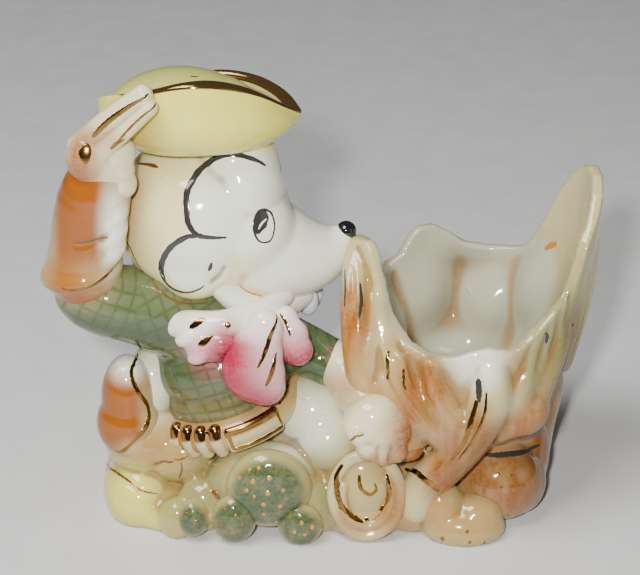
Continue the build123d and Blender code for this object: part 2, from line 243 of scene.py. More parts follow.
def place(piece, body, slot, nodes, material):
    """Hands a finished piece to the body it is luted to."""
    mark_hollows(piece)
    piece.data.materials.clear()
    piece.data.materials.append(material)
    only(piece)
    bpy.ops.object.shade_smooth()
    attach(piece, body)
    if nodes:
        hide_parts(*nodes)
    return piece


class Value:
    """A shader socket that understands arithmetic."""

    def __init__(self, glaze, socket):
        self.glaze, self.socket = glaze, socket

    def maths(self, operation, other=0.0):
        return self.glaze.add("ShaderNodeMath", {"operation": operation}, {0: self, 1: other})

    def __add__(self, other): return self.maths("ADD", other)
    __radd__ = __add__
    def __mul__(self, other): return self.maths("MULTIPLY", other)
    __rmul__ = __mul__
    def __sub__(self, other): return self.maths("SUBTRACT", other)

    def __rsub__(self, other):
        return self.glaze.add("ShaderNodeMath", {"operation": "SUBTRACT"}, {0: other, 1: self})

    def least(self, other): return self.maths("MINIMUM", other)
    def most(self, other): return self.maths("MAXIMUM", other)

    def ramp(self, low, high, out_low=0.0, out_high=1.0):
        """Smooth step between two levels."""
        return self.glaze.add("ShaderNodeMapRange", {"interpolation_type": "SMOOTHSTEP"},
                              {"Value": self, "From Min": low, "From Max": high,
                               "To Min": out_low, "To Max": out_high})


class Glaze:
    """A fired surface: its colours are airbrushed one over the other under clear glaze."""

    def __init__(self, name, colour, roughness=0.09, coat=0.25, metal=0.0):
        self.material = bpy.data.materials.new(name)
        self.material.use_nodes = True
        self.tree = self.material.node_tree
        self.shader = self.tree.nodes["Principled BSDF"]
        self.shader.inputs["Coat Weight"].default_value = coat
        self.shader.inputs["Coat Roughness"].default_value = 0.04
        self.shader.inputs["Metallic"].default_value = metal
        self.shader.inputs["IOR"].default_value = 1.52
        self.where = self.add("ShaderNodeTexCoord", {}, {}, "Object")
        self.colour = self.rgb(colour)
        self.roughness = roughness
        self.bumps = []
        # The colour for the hollows, standing both for glaze pooled there and for the painted shade of
        # the creases.
        self.pooled_and_shade = (0.24, 0.14, 0.04)

    def add(self, kind, settings, inputs, output=0):
        node = self.tree.nodes.new(kind)
        for key, value in settings.items():
            setattr(node, key, value)
        for key, value in inputs.items():
            if isinstance(value, Value):
                self.tree.links.new(value.socket, node.inputs[key])
            else:
                node.inputs[key].default_value = value
        return Value(self, node.outputs[output])

    def rgb(self, colour):
        return colour if isinstance(colour, Value) else (*colour, 1.0)

    def noise(self, scale, detail=3.0, roughness=0.55, seed=0.0, stretch=(1, 1, 1)):
        moved = self.add("ShaderNodeMapping", {}, {
            "Vector": self.where, "Location": (seed, seed * 0.7, 0), "Scale": stretch})
        return self.add("ShaderNodeTexNoise", {}, {"Vector": moved, "Scale": scale, "Detail": detail,
                                                   "Roughness": roughness}, "Fac")

    def spot(self, centre, radii, soft=0.5):
        """Full inside an egg in millimetres and fading to nothing across its edge."""
        offset = self.add("ShaderNodeVectorMath", {"operation": "SUBTRACT"},
                          {0: self.where, 1: [c * MM for c in centre]})
        share = self.add("ShaderNodeVectorMath", {"operation": "DIVIDE"},
                         {0: offset, 1: [r * MM for r in radii]})
        reach = self.add("ShaderNodeVectorMath", {"operation": "LENGTH"}, {0: share}, "Value")
        return reach.ramp(1 + soft, 1 - soft)

    def along(self, direction):
        """Distance along a direction, in metres."""
        return self.add("ShaderNodeVectorMath", {"operation": "DOT_PRODUCT"},
                        {0: self.where, 1: Vector(direction).normalized()}, "Value")

    def axis(self, direction, low, high):
        """Rises from nothing to full between two distances in millimetres along a direction."""
        return self.along(direction).ramp(low * MM, high * MM)

    def grid(self, direction, spacing, width):
        """Full on evenly spaced lines square to a direction, in millimetres."""
        wander = self.noise(55, 1.0, 0.5, seed=0.4) * 0.9
        step = (self.along(direction) * (1 / (spacing * MM)) + wander).maths("FRACT")
        return (step - 0.5).maths("ABSOLUTE").ramp(width / spacing, 0.0)

    def attribute(self, name):
        return self.add("ShaderNodeAttribute", {"attribute_name": name}, {}, "Fac")

    def spray(self, colour, mask, strength=1.0, speckle=0.12):
        """Airbrushes a colour through a mask, with the fine spatter of the spray."""
        spatter = self.noise(900, 2.0, 0.7, seed=len(self.tree.nodes) * 0.013)
        amount = mask * (spatter.ramp(0.25, 0.75, 1 - speckle, 1 + speckle)) * strength
        amount = amount.least(1.0)
        mixed = self.tree.nodes.new("ShaderNodeMix")
        mixed.data_type = "RGBA"
        self.tree.links.new(amount.socket, mixed.inputs[0])
        for key, value in ((6, self.colour), (7, self.rgb(colour))):
            if isinstance(value, Value):
                self.tree.links.new(value.socket, mixed.inputs[key])
            else:
                mixed.inputs[key].default_value = value
        self.colour = Value(self, mixed.outputs[2])
        return self

    def airbrush(self, rows, soft=0.6, within=None):
        """Sprays (centre, radii, colour, strength) rows, kept inside another mask if one is given."""
        for centre, radii, colour, strength in rows:
            mask = self.spot(centre, radii, soft)
            self.spray(colour, mask if within is None else mask * within, strength)

    def gild(self, mask):
        """Makes the surface metal where the mask is full."""
        self.tree.links.new(mask.socket, self.shader.inputs["Metallic"])

    def bump(self, height, depth):
        self.bumps.append((height, depth))
        return self

    def fired(self, peel=0.02):
        """Wires the colours up under an even, faintly rippled skin of glaze."""
        # Where the skin lies in a hollow this colour darkens it: partly glaze pooled in the crease,
        # partly painted shade of the crease.
        self.spray(self.pooled_and_shade, self.attribute("hollow").ramp(0.02, 0.40), 0.72, 0.1)
        cloud = self.noise(26, 3.0, 0.6, seed=0.31)
        self.spray((0.55, 0.46, 0.27), cloud.ramp(0.52, 0.80), 0.05, 0.1)
        if isinstance(self.colour, Value):
            self.tree.links.new(self.colour.socket, self.shader.inputs["Base Color"])
        skin = self.noise(340, 2.0, 0.5, seed=0.9)
        rough = self.noise(60, 3.0, 0.6, seed=0.5)
        rough = rough.ramp(0.3, 0.8, self.roughness * 0.8, self.roughness * 1.5)
        self.tree.links.new(rough.socket, self.shader.inputs["Roughness"])
        normal = None
        for height, depth in [(skin, peel)] + self.bumps:
            inputs = {"Height": height, "Distance": depth * MM, "Strength": 1.0}
            if normal is not None:
                inputs["Normal"] = normal
            normal = self.add("ShaderNodeBump", {}, inputs, "Normal")
        self.tree.links.new(normal.socket, self.shader.inputs["Normal"])
        return self.material


def brush(name, pieces, strokes, material, slot, proud=0.07):
    """Brushes lines of colour, in (x, y, z, width) rows, onto the skin of finished pieces."""
    ready = bpy.context.evaluated_depsgraph_get()
    skins = [BVHTree.FromObject(piece, ready) for piece in pieces]

    def on_skin(point):
        found = min((skin.find_nearest(point) for skin in skins), key=lambda hit: hit[3])
        return found[0], found[1]

    shares = (-1, -0.72, -0.36, 0, 0.36, 0.72, 1)
    verts, faces = [], []
    for stroke in strokes:
        line = along(stroke, 0.4)
        first = len(verts)
        for i, (x, y, z, width) in enumerate(line):
            middle, out = on_skin(Vector((x, y, z)) * MM)
            course = Vector(line[min(i + 1, len(line) - 1)][:3] - line[max(i - 1, 0)][:3])
            side = out.cross(course).normalized()
            to_end = min(i, len(line) - 1 - i) * 0.4 + 0.12
            taper = min(1, math.sqrt(to_end / max(width / 2, 0.2)))
            half = width * 0.6 * taper * (1 + 0.07 * math.sin(i * 0.9 + x))
            edge = [on_skin(middle + side * half * share * MM) for share in shares]
            verts += [at + facing * (proud * (1 - share ** 4) - 0.02) * MM
                      for (at, facing), share in zip(edge, shares)]
            verts += [at - facing * 0.22 * MM for at, facing in reversed(edge[1:-1])]
        ring, count = 2 * len(shares) - 2, len(line)
        faces += [[first + i * ring + j, first + i * ring + (j + 1) % ring,
                   first + (i + 1) * ring + (j + 1) % ring, first + (i + 1) * ring + j]
                  for i in range(count - 1) for j in range(ring)]
        faces += [[first + j for j in reversed(range(ring))],
                  [first + (count - 1) * ring + j for j in range(ring)]]
    colour = build(name, verts, faces)
    face_outwards(colour)
    return place(colour, "pottery", slot, [], material)


def dots(rows):
    """Short dabs of the brush, one for each (x, y, z, width) row."""
    return [[(x, y, z + width * 0.6, width * 0.6), (x, y, z, width), (x, y, z - width * 0.6, width * 0.5)]
            for x, y, z, width in rows]


IVORY = (0.52, 0.44, 0.21)
CREAM = (0.42, 0.33, 0.13)
WHITE = (0.82, 0.85, 0.68)
ORANGE = (0.29, 0.078, 0.005)
BLUSH = (0.38, 0.165, 0.03)
SAGE = (0.045, 0.078, 0.03)
MOSS = (0.15, 0.18, 0.05)
YELLOW = (0.74, 0.69, 0.13)
UMBER = (0.12, 0.055, 0.014)
PINK = (0.60, 0.15, 0.19)
CRIMSON = (0.36, 0.012, 0.045)

bpy.ops.object.select_all(action="DESELECT")
bpy.ops.mesh.primitive_plane_add(size=6, location=(0, 0, -0.0002))
table = bpy.context.object
table.name = "table_top"
linen = Glaze("pale_table", (0.62, 0.61, 0.60), roughness=0.5, coat=0.0)
table.data.materials.append(linen.fired())

ground_eggs = [
    egg((-50, -4, 3), (27, 31, 12)), egg((-38, 24, 3), (33, 22, 11)), egg((-6, -2, 3), (42, 36, 12)),
    egg((28, 22, 3), (42, 25, 12)), egg((38, -6, 3), (38, 33, 13)), egg((-8, 30, 3), (40, 18, 11)),
    egg((-60, 6, 2), (17, 24, 9)),
    # the yellow mound under the near boot, and low stones along the front edge
    egg((-63, -20, 6), (13, 18, 13.5)), egg((-54, -27, 3), (12, 12.5, 9)),
    egg((-49.5, -38.5, 5), (6, 6, 8)), egg((-41, -34, 8), (9, 8, 10)),
    egg((12.5, -35, 13), (13.5, 7, 15)), egg((13, -36, 5), (14, 8, 8)),
    egg((-4, -33, 8), (12, 9, 12)), egg((-21, -33, 16), (19, 10, 15)),
    # the slab and stones at the foot of the stump
    egg((29, -34, 9), (10, 8, 12)), egg((31, -30, 15), (9, 9, 8)),
    egg((46, -39.5, 3), (14, 9, 8)), egg((38, -37, 9), (8, 8, 10)), egg((50, -38, 7), (9, 8, 7)),
    # hips and both squatting legs
    egg((-33, -2, 24), (25, 26, 13)), egg((-60, -16, 25), (15.5, 16, 14)),
    egg((-48, -18, 22), (15, 16, 12)), egg((-58, -12, 42), (9, 12, 15)),
    egg((-4, -17, 33), (14.5, 14, 15)), egg((1, -22, 26), (14, 14, 14)),
    egg((-14, -10, 26), (16, 18, 12)),
    # fillings under the fist and behind the hips
    egg((27, -33, 31), (6, 7, 6)), egg((-36, 14, 11), (24, 13, 8)),
]
ground = stand(clay("lower_body", ground_eggs))


def drum(centre, radius, low, high):
    """A round cutter standing on the bench."""
    bpy.ops.object.select_all(action="DESELECT")
    bpy.ops.mesh.primitive_cylinder_add(vertices=96, radius=radius * MM, depth=(high - low) * MM,
                                        location=(centre[0] * MM, centre[1] * MM, (low + high) / 2 * MM))
    return bpy.context.object


OUTLET = (-34, 0)
coin_chamber = egg((-33, -2, 27), (20, 21, 17))
well = drum(OUTLET, 17.5, 7.5, 11.5)
bore = drum(OUTLET, 15.5, -2, 14)
lip_recess = drum(OUTLET, 19.5, -2, 3.5)
carve(ground, [coin_chamber, well, bore, lip_recess])
press(ground, [(-58.8, -30.8, 20, 1), (-54.3, -32.4, 22.9, 1), (-48.5, -33.4, 24.8, 1)], -0.7)
press(ground, [(-76.5, -3.9, 4.9, 1), (-71.1, -26, 15.4, 1), (-65.9, -32.2, 15.4, 1),
               (-61.4, -34.5, 13.7, 1), (-56.6, -33.7, 11.6, 1)], -0.7)
glaze = Glaze("ground_glaze", CREAM)
glaze.airbrush([
    ((-8, -29, 38), (14, 13, 13), WHITE, 0.7), ((-58, -28, 31), (15, 13, 13), IVORY, 0.4),
    ((-62, -34, 28), (9, 9, 8), BLUSH, 0.5), ((-58, -20, 48), (8, 12, 12), WHITE, 0.7),
    ((-66, -30, 7), (16, 18, 13), YELLOW, 0.75), ((-50, -38, 10), (7, 9, 7), MOSS, 0.45),
    ((-39, -37, 18), (7, 8, 8), MOSS, 0.6), ((-42, -32, 26), (10, 8, 6), MOSS, 0.4),
    ((2, -40, 13), (5, 8, 10), MOSS, 0.75), ((-2, -36, 22), (7, 8, 7), MOSS, 0.4),
    ((-28, -36, 31), (9, 8, 5), MOSS, 0.3), ((30, -38, 30), (11, 10, 10), ORANGE, 0.9),
    ((34, -42, 17), (7, 8, 10), BLUSH, 0.6), ((25, -40, 9), (7, 8, 9), BLUSH, 0.6),
    ((40, -45, 7), (8, 8, 5), BLUSH, 0.3), ((50, -42, 8), (12, 8, 8), BLUSH, 0.4),
    ((-52, -32, 27), (10, 8, 8), BLUSH, 0.4), ((-30, 34, 20), (30, 20, 16), MOSS, 0.4),
    ((40, 40, 12), (30, 14, 14), BLUSH, 0.5),
])
place(ground, "pottery", "ground_glaze",
      ["ground_base", "hips", "right_leg", "left_leg", "right_boot", "lasso_back", "foot_rock"],
      glaze.fired())
ink = Glaze("painted_black", (0.035, 0.030, 0.028), roughness=0.14).fired()
# Fired gold is given a dark bronze colour, which paints in the dark surroundings it reflects.
gold = Glaze("gold_lustre", (0.34, 0.185, 0.05), roughness=0.15, coat=0.0, metal=1.0)
gold.spray((0.16, 0.08, 0.02), gold.noise(420, 3, 0.6, seed=0.7).ramp(0.45, 0.7), 0.7)
gold_paint = gold.fired(0.05)
brown = Glaze("thin_gold", (0.24, 0.10, 0.025), roughness=0.18, metal=0.45).fired()
copper = Glaze("copper_dots", (0.70, 0.26, 0.04), roughness=0.15, metal=0.35).fired()
brass = Glaze("brass_dots", (0.26, 0.13, 0.035), roughness=0.16, metal=0.55).fired()
brush("ground_lines", [ground], [
    [(-57.5, -31, 21, 0.5), (-54.5, -32.5, 23, 0.8), (-51, -33.5, 24, 0.5)],
    [(-50.5, -33, 24.5, 0.5), (-48, -33.5, 25, 0.7), (-46, -32.5, 26, 0.4)],
    [(-48, -33.5, 24, 0.5), (-48, -34, 21, 0.7), (-49, -32.5, 17, 0.3)],
    [(-76.5, -4, 5, 0.7), (-71, -26, 15.5, 0.8), (-66, -32, 15.5, 0.7), (-61.5, -34.5, 13.5, 0.6),
     (-56.5, -33.5, 11.5, 0.3)],
    [(-38, -38.5, 16, 1.3), (-36.5, -39, 15, 1.7), (-35.5, -39.5, 13.5, 1)],
], brown, "gold_lustre")
brush("foot_dots", [ground], dots([
    (31, -39, 0, 1.4), (38.5, -47, 2.5, 1.7), (46.5, -48, 6, 1.3), (47.5, -48, 2, 1.3),
    (52.5, -47, 1, 1.3), (35, -43.5, 0, 1),
]), brass, "gold_lustre")


# ---------------------------------------------------------------- rubber stopper
# A moulded black rubber plug with a thin lip, pushed into the outlet from below.  Its plain
# turned shape needs no other skin, so it only gets its matt rubber.
stopper_mat = Glaze("stopper_rubber", (0.05, 0.045, 0.04), roughness=0.55, coat=0.0)
stopper_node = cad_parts["rubber_stopper"]
stopper_node.data.materials.clear()
stopper_node.data.materials.append(stopper_mat.fired(0.06))


# ---------------------------------------------------------------- shirt: torso and both sleeves
# The body casting with both sleeves luted on, scored with a plaid grid while the clay was soft
# and airbrushed sage green, darkened with painted shade under the sleeves.  The coin slot is cut across
# its back.
shirt_eggs = [
    egg((-33, -4, 41), (25, 29.5, 15), (0, -18, 0)), egg((-36.5, -4, 52), (24.5, 28, 16), (0, -18, 0)),
    egg((-41, -4, 64), (21, 24, 16), (0, -18, 0)), egg((-45, -6, 72), (17, 20, 12)),
]
shirt_eggs += roll([(-48, -13, 68, 15), (-60, -17, 74, 13.5), (-71, -20, 77.5, 12.2),
                    (-77.5, -20, 81, 11.2), (-77, -20, 88, 9)])
shirt_eggs += roll([(-22, -8, 60, 10), (-9, -14, 57, 9), (1, -17, 53, 8.5)])
shirt = clay("shirt", shirt_eggs, 0.9, 22)
SLOT_MIDDLE, SLOT_SIZE = (-39.5, 24, 62), (33, 34, 4.8)
bpy.ops.object.select_all(action="DESELECT")
bpy.ops.mesh.primitive_cube_add(size=1, location=[c * MM for c in SLOT_MIDDLE])
slot_cutter = bpy.context.object
slot_cutter.scale = [side * MM for side in SLOT_SIZE]
carve(shirt, [egg((-38, -4, 56), (16, 21, 22), (0, -18, 0)), slot_cutter])
glaze = Glaze("shirt_glaze", (0.125, 0.155, 0.065))
# Dark green in the hollows of the shirt: pooled glaze and painted shade.
glaze.pooled_and_shade = (0.05, 0.07, 0.03)
# The dark sage sprays on the undersides of both sleeves and on the torso below them are airbrushed green
# and painted shade together.
glaze.airbrush([
    ((-62, -28, 66), (20, 16, 8), SAGE, 0.8), ((-46, -26, 58), (12, 14, 16), SAGE, 0.7),
    ((-24, -30, 54), (10, 12, 10), SAGE, 0.7), ((-80, -26, 89), (12, 16, 9), CREAM, 0.7),
    ((-72, -28, 70), (20, 16, 9), SAGE, 0.8), ((-37, -31, 65), (10, 9, 9), PINK, 0.7),
    ((-36, -30, 42), (26, 14, 7), (0.17, 0.12, 0.04), 0.7), ((-2, -24, 57), (12, 9, 9), SAGE, 0.8),
    ((4, -26, 60), (4, 6, 5), PINK, 0.4),
])
on_sleeve = glaze.axis((-1, 0, 0.45), 86, 90)
PLAID = {"spacing": 4.7, "width": 0.9}
body_grid = glaze.grid((-0.31, 0, 0.95), **PLAID).most(glaze.grid((0.95, 0.3, 0.31), **PLAID))
sleeve_grid = glaze.grid((-0.89, -0.22, 0.4), **PLAID).most(glaze.grid((0.4, 0, 0.92), **PLAID))
plaid = body_grid * (1.0 - on_sleeve) + sleeve_grid * on_sleeve
glaze.spray((0.035, 0.055, 0.02), plaid, 0.5, 0.0)
glaze.bump(1.0 - plaid, 0.06)
place(shirt, "pottery", "shirt_glaze", ["torso", "right_sleeve", "left_sleeve"], glaze.fired())


# ---------------------------------------------------------------- head
# The head casting: round skull, puffed cheek and a long snout, left almost white inside the
# painted mask and cream outside it.
head_eggs = [
    egg((-40.5, -4, 101.5), (29, 26.5, 28)), egg((-27.5, -8, 113), (14, 17, 18)),
    egg((-29.5, -6, 122), (14, 16, 14)), egg((-42.5, -17, 90), (13, 12, 12.5)),
    egg((-27, -12, 100), (17, 16, 17)), egg((-42.5, 9, 90), (13, 12, 12.5)),
    egg((-42, -5, 84), (17, 16, 12)),
]
head_eggs += roll([(-25, -7, 93, 17), (-20, -7, 90.2, 17.2), (-13.8, -6.5, 87.8, 15.2),
                   (-7, -5.5, 86.6, 12.4), (-1, -4.7, 87.4, 9.3), (3, -4, 90, 6.4),
                   (5.2, -4, 93.2, 4.4)])
head = clay("head", head_eggs, 0.9, 16)
press(head, [(-32, -28.4, 94.9, 1.6), (-34, -27.3, 90.1, 1.6), (-38.3, -27.5, 85.8, 1.6)], -0.9)
glaze = Glaze("head_glaze", (0.84, 0.77, 0.37))
glaze.airbrush([
    ((-66, -16, 114), (9, 12, 16), ORANGE, 0.55), ((-58, -22, 101), (7, 9, 8), ORANGE, 0.28),
    ((-54, -22, 128), (10, 10, 5), ORANGE, 0.3),
], 0.7)
brow = glaze.spot((-27, -20, 113), (17, 24, 17), 0.1)
cheek = glaze.spot((-41.5, -24, 95.5), (11.4, 16, 11.4), 0.12)
snout = glaze.spot((-8, -6, 92), (28, 30, 17), 0.25)
glaze.spray(WHITE, brow.most(cheek).most(snout), 0.92)
place(head, "pottery", "ivory_glaze", ["head"], glaze.fired())
brush("mask_lines", [head], [
    [(-19, -17, 124, 0.6), (-21.5, -18, 126, 1.1), (-24, -19, 127.5, 1.4), (-29, -19.5, 129, 1.7),
     (-34, -19, 128, 1.9), (-39, -19, 124.5, 2), (-42, -22, 121.5, 2), (-44, -25, 118, 1.9),
     (-44, -27.5, 113.5, 1.8), (-43.5, -29, 109.5, 1.7), (-41, -30, 106, 1.6), (-37, -30, 105, 1.3),
     (-31.5, -29, 104.5, 0.6)],
    [(-39, -30, 106, 1.1), (-42, -30, 105.5, 1.4), (-44.5, -30, 105, 1.7), (-49, -29, 101.5, 1.8),
     (-52, -28, 96.5, 1.9), (-53, -26, 91.5, 1.9), (-52, -24.5, 87, 1.7), (-49.5, -25.5, 84.5, 1.5),
     (-45, -27, 84, 1.2), (-41, -28, 85.5, 0.8), (-39, -28, 87, 0.5)],
    [(-36.5, -29.5, 96, 0.6), (-37, -29, 94, 1.3), (-37.5, -29, 92.5, 0.6)],
    [(-16, -5, 125, 0.7), (-15, -6.5, 121.5, 0.8), (-14.5, -10.5, 119, 0.5)],
    [(-13, -4, 109.5, 0.5), (-12, -5.5, 107, 0.8), (-11, -10, 105, 0.5)],
    [(-20, -22.5, 111.5, 0.8), (-18, -21.5, 110, 0.8), (-17, -22, 108.5, 0.7), (-16.5, -23, 106, 0.6),
     (-17, -24.5, 103, 0.6), (-18, -25.5, 101.5, 0.6), (-20, -26.5, 101.5, 0.6),
     (-21.5, -27, 102.5, 0.6), (-22.5, -27, 104.5, 0.7), (-23, -26, 107, 0.8),
     (-22.5, -24.5, 109.5, 0.8), (-21.5, -23.5, 111, 0.8), (-20, -22.5, 111.5, 0.8)],
    [(-19.5, -22.5, 111, 2.6), (-20, -23, 110, 4.2), (-20.5, -24.5, 108.5, 4.6),
     (-21.5, -25.5, 106.5, 3.9), (-22, -26.5, 104.5, 2.2)],
], ink, "black_glaze")
brush("brow_line", [head], [
    [(-60.5, -8.5, 121, 0.7), (-57, -12.5, 122.5, 1.1), (-55, -14.5, 123, 1.3), (-53.5, -16, 123, 0.6)],
], brown, "gold_lustre")
chalk = Glaze("eye_white", WHITE).fired()
brush("eye_glint", [head], [
    [(-21.5, -26, 106, 0.5), (-20.5, -25, 107.5, 0.7), (-19, -23.5, 108.5, 0.5)],
], chalk, "ivory_glaze", 0.12)
brush("neck_line", [head, shirt], [
    [(-68.5, -9.5, 97, 0.5), (-64, -19, 97.5, 0.7), (-59, -19, 87.5, 0.7), (-53.5, -24.5, 83, 0.7),
     (-47, -24.5, 79, 0.7), (-39, -22, 77.5, 0.4)],
], brown, "gold_lustre")


# ---------------------------------------------------------------- jaw, teeth and nose
# Three small castings: an open lower jaw luted under the snout, two white front teeth behind
# it, and a round nose dipped in black.
jaw_eggs = roll([(-35, -21, 84, 4), (-29, -20, 78.5, 5.2), (-22, -18, 74.5, 5.6),
                 (-14.5, -14, 72.8, 5.2), (-8, -9, 73.5, 4)])
jaw_eggs += [egg((-22, -8, 77), (13, 12, 7))]
jaw = clay("lower_jaw", jaw_eggs, 0.6)
glaze = Glaze("jaw_glaze", WHITE)
glaze.spray(PINK, glaze.spot((-21, -20, 71), (17, 10, 4), 0.6), 0.5)
place(jaw, "pottery", "ivory_glaze", ["lower_jaw"], glaze.fired())
brush("lip_line", [head, jaw], [
    [(-28, -22, 84, 0.5), (-26, -22, 82, 0.8), (-23.5, -21.5, 80.5, 0.8), (-20, -20.5, 79, 0.5)],
], copper, "gold_lustre")

TOOTH = (3.6, 3, 5.6)
teeth = clay("front_teeth", [egg((-6, -7.5, 71), TOOTH), egg((-4.4, -2, 71), TOOTH)], 0.4, 6)
glaze = Glaze("tooth_glaze", (0.74, 0.72, 0.80))
place(teeth, "pottery", "tooth_glaze", ["front_teeth"], glaze.fired())

nose = clay("nose", [egg((6.6, -4, 95), (3.5, 3.5, 3.4)), egg((5.6, -4, 93.8), (3.2, 3.3, 3.2))], 0.35, 6)
glaze = Glaze("nose_black", (0.008, 0.008, 0.01), roughness=0.05, coat=1.0)
place(nose, "pottery", "black_glaze", ["nose"], glaze.fired())


# ---------------------------------------------------------------- hat
# Crown and brim are two castings.  The brim is turned up all round and drawn out to a point in
# front, and its lip carries a broad band of fired gold.
crown = clay("hat_crown", [egg((-47, -2, 137), (23, 21, 13)), egg((-38, -2, 137), (17, 18, 10.5))])
glaze = Glaze("hat_glaze", YELLOW)
glaze.spray(IVORY, glaze.axis((0, 0, -1), -139, -130), 0.6)
glaze.spray(ORANGE, glaze.spot((-60, -28, 140), (9, 11, 10), 0.7), 0.5)
glaze.spray((0.84, 0.76, 0.13), glaze.spot((-24, -27, 143), (17, 14, 9), 0.7), 0.6)
glaze.spray((0.30, 0.33, 0.11), glaze.axis((0, 0, 1), 138, 149) * (1.0 - glaze.attribute("brim")), 0.6)
glaze.spray(IVORY, glaze.attribute("inside").ramp(0.2, 0.6), 0.9)
gilt = glaze.attribute("lip").ramp(0.45, 0.6)
# The gilded lip is sprayed dark bronze, which paints in the dark surroundings the gold reflects.
glaze.spray((0.20, 0.115, 0.035), gilt, 1.0, 0.0)
glaze.gild(gilt * 0.85)
hat_paint = glaze.fired()
place(crown, "pottery", "hat_glaze", ["hat_crown"], hat_paint)
brush("crown_mark", [crown], [
    [(-43, -5, 152, 0.6), (-42, -5, 152, 1), (-40, -4.5, 151.5, 0.5)],
], brown, "gold_lustre")

BRIM = [  # angle, seam x y z, lip x y z
    (0, -14, -4, 129, -7.4, -4, 137), (-22, -16, -14, 131, -13.5, -13, 143.5),
    (-45, -23, -22, 132, -22, -22, 151), (-70, -33, -27.5, 133, -34, -28, 155.5),
    (-95, -44, -28.5, 133, -45, -29, 155.5), (-120, -54, -25, 132, -57, -25, 151.5),
    (-150, -64, -15, 130, -69, -15, 146.5), (180, -68, -4, 129, -73, -4, 142),
    (150, -64, 8, 130, -69, 9, 138), (120, -53, 18, 131, -55, 20, 138),
    (95, -44, 21.5, 132, -44, 24, 139.5), (70, -33, 20.5, 132, -33, 23, 141),
    (45, -23, 15, 130, -21.5, 17, 141), (22, -16, 6, 129, -12.5, 7, 139.5),
]
rows = along([[*r[1:4], *r[4:7]] for r in BRIM + BRIM[:1]], 2.2)[:-1]
verts, lips, insides = [], [], []
CENTRE = np.array((-40, -4, 0))
for row in rows:
    seam, lip = row[:3], row[3:]
    wall = np.interp(lip[0], (-60, -48, -26, -12), (2.8, 3.4, 6.2, 4.6)) if lip[1] < -8 else 2.6
    out = (seam - CENTRE) * (1, 1, 0)
    out /= np.linalg.norm(out)
    up = lip - seam
    rise = up / np.linalg.norm(up)
    swell = out * 2.2
    share = np.interp(lip[0], (-74, -60, -40, -10), (0.0, 0.55, 0.8, 1.0))  # the gold runs out behind
    profile = [  # points around the brim's wall, each with how far it lies on the gilded lip
        (seam - out * 3 - rise * 3, 0),
        (seam + rise * 1, 0),
        (seam + up * 0.25 + swell * 0.8, 0),
        (seam + up * 0.5 + swell, 0),
        (seam + up * 0.78 + swell * 0.5, 0),
        (lip + out * 0.5 - rise * 1.4, 0.3),
        (lip + out * 0.3, 1.2),
        (lip - out * wall * 0.5 + rise * 0.9, 1.6),
        (lip - out * wall - rise * 0.2, 1.6),
        (lip - out * wall * 1.15 - rise * 2, 0.35),
        (seam + up * 0.5 + swell - out * wall * 1.2, 0),
        (seam + up * 0.2 - out * wall * 1.6, 0),
        (seam - out * 7 - rise * 2, 0),
    ]
    verts += [p * MM for p, _ in profile]
    lips += [a * share for _, a in profile]
    insides += [0] * 8 + [0.6] + [1] * 4
k = len(profile)
faces = []
for i in range(len(rows)):
    here, ahead = i * k, (i + 1) % len(rows) * k
    faces += [[here + j, ahead + j, ahead + (j + 1) % k, here + (j + 1) % k] for j in range(k)]
brim = build("hat_brim", verts, faces)
for name, values in (("lip", lips), ("inside", insides), ("brim", [1.0] * len(verts))):
    brim.data.attributes.new(name, "FLOAT", "POINT").data.foreach_set("value", values)
face_outwards(brim)
rounding = brim.modifiers.new("rounding", "SUBSURF")
rounding.levels = rounding.render_levels = 2
bpy.ops.object.modifier_apply(modifier="rounding")
place(brim, "pottery", "hat_glaze", ["hat_brim"], hat_paint)


# ---------------------------------------------------------------- saluting hand and gauntlet
# A flared leather gauntlet, airbrushed orange, and the bare hand above it with two fingers up.
# Cuff, palm and fingers are cast apart and luted with slip before the glaze goes on.
gauntlet_eggs = roll([(-78.5, -21, 89.5, 12.6), (-77, -21, 98, 12), (-75.2, -21, 108, 12.2),
                      (-73, -22, 117, 11.4), (-70.5, -22, 124, 9)])
gauntlet_eggs += [egg((-79, -21, 89.5), (14, 14, 6), (0, -10, 0))]
SCALLOPS = ((-67.5, -26, 116), (-67.2, -26.5, 110), (-67.6, -27, 104), (-68.4, -27, 98))
gauntlet_eggs += [egg(middle, (3.4, 6, 7), (0, 38, 0)) for middle in SCALLOPS]
gauntlet = clay("right_gauntlet", gauntlet_eggs, 0.8, 18)
press(gauntlet, [(-80.2, -32.2, 103.1, 1.2), (-74.4, -32.9, 104.1, 1.2), (-68.7, -32, 106.5, 1.2)], -0.8)
glaze = Glaze("gauntlet_glaze", ORANGE)
glaze.airbrush([
    ((-66, -31, 106), (5, 9, 17), WHITE, 0.9), ((-92, -22, 102), (6, 14, 24), IVORY, 0.8),
    ((-70, -28, 92), (8, 10, 7), IVORY, 0.6), ((-82, -30, 92), (10, 12, 6), BLUSH, 0.5),
    ((-76, -14, 122), (14, 8, 6), IVORY, 0.5),
])
place(gauntlet, "pottery", "orange_glaze", ["right_gauntlet"], glaze.fired())
brush("gauntlet_seam", [gauntlet], [
    [(-79, -32.5, 104, 0.5), (-74.5, -33, 104.5, 0.9), (-69, -32, 106, 0.5)],
], brown, "gold_lustre")
brush("cuff_line", [gauntlet, shirt], [
    [(-84, -33.5, 89, 0.5), (-81.5, -34.5, 88.5, 0.8), (-78, -34.5, 89, 1), (-73, -33, 90.5, 1),
     (-68.5, -29.5, 93.5, 1), (-64.5, -30, 99.5, 0.5)],
], gold_paint, "gold_lustre")
hand_eggs = [
    egg((-71, -23, 127), (10, 8.5, 9.5)),
    egg((-74.4, -27.5, 131.5), (7, 6, 8.5)),
    egg((-66, -24, 131.5), (6.5, 6.5, 6.5)),
    egg((-65, -24, 126), (5, 6, 5)),
    egg((-64.5, -24, 121), (5, 6, 5)),
]
hand = clay("right_hand", hand_eggs, 0.7, 8)
glaze = Glaze("hand_glaze", (0.74, 0.66, 0.40))
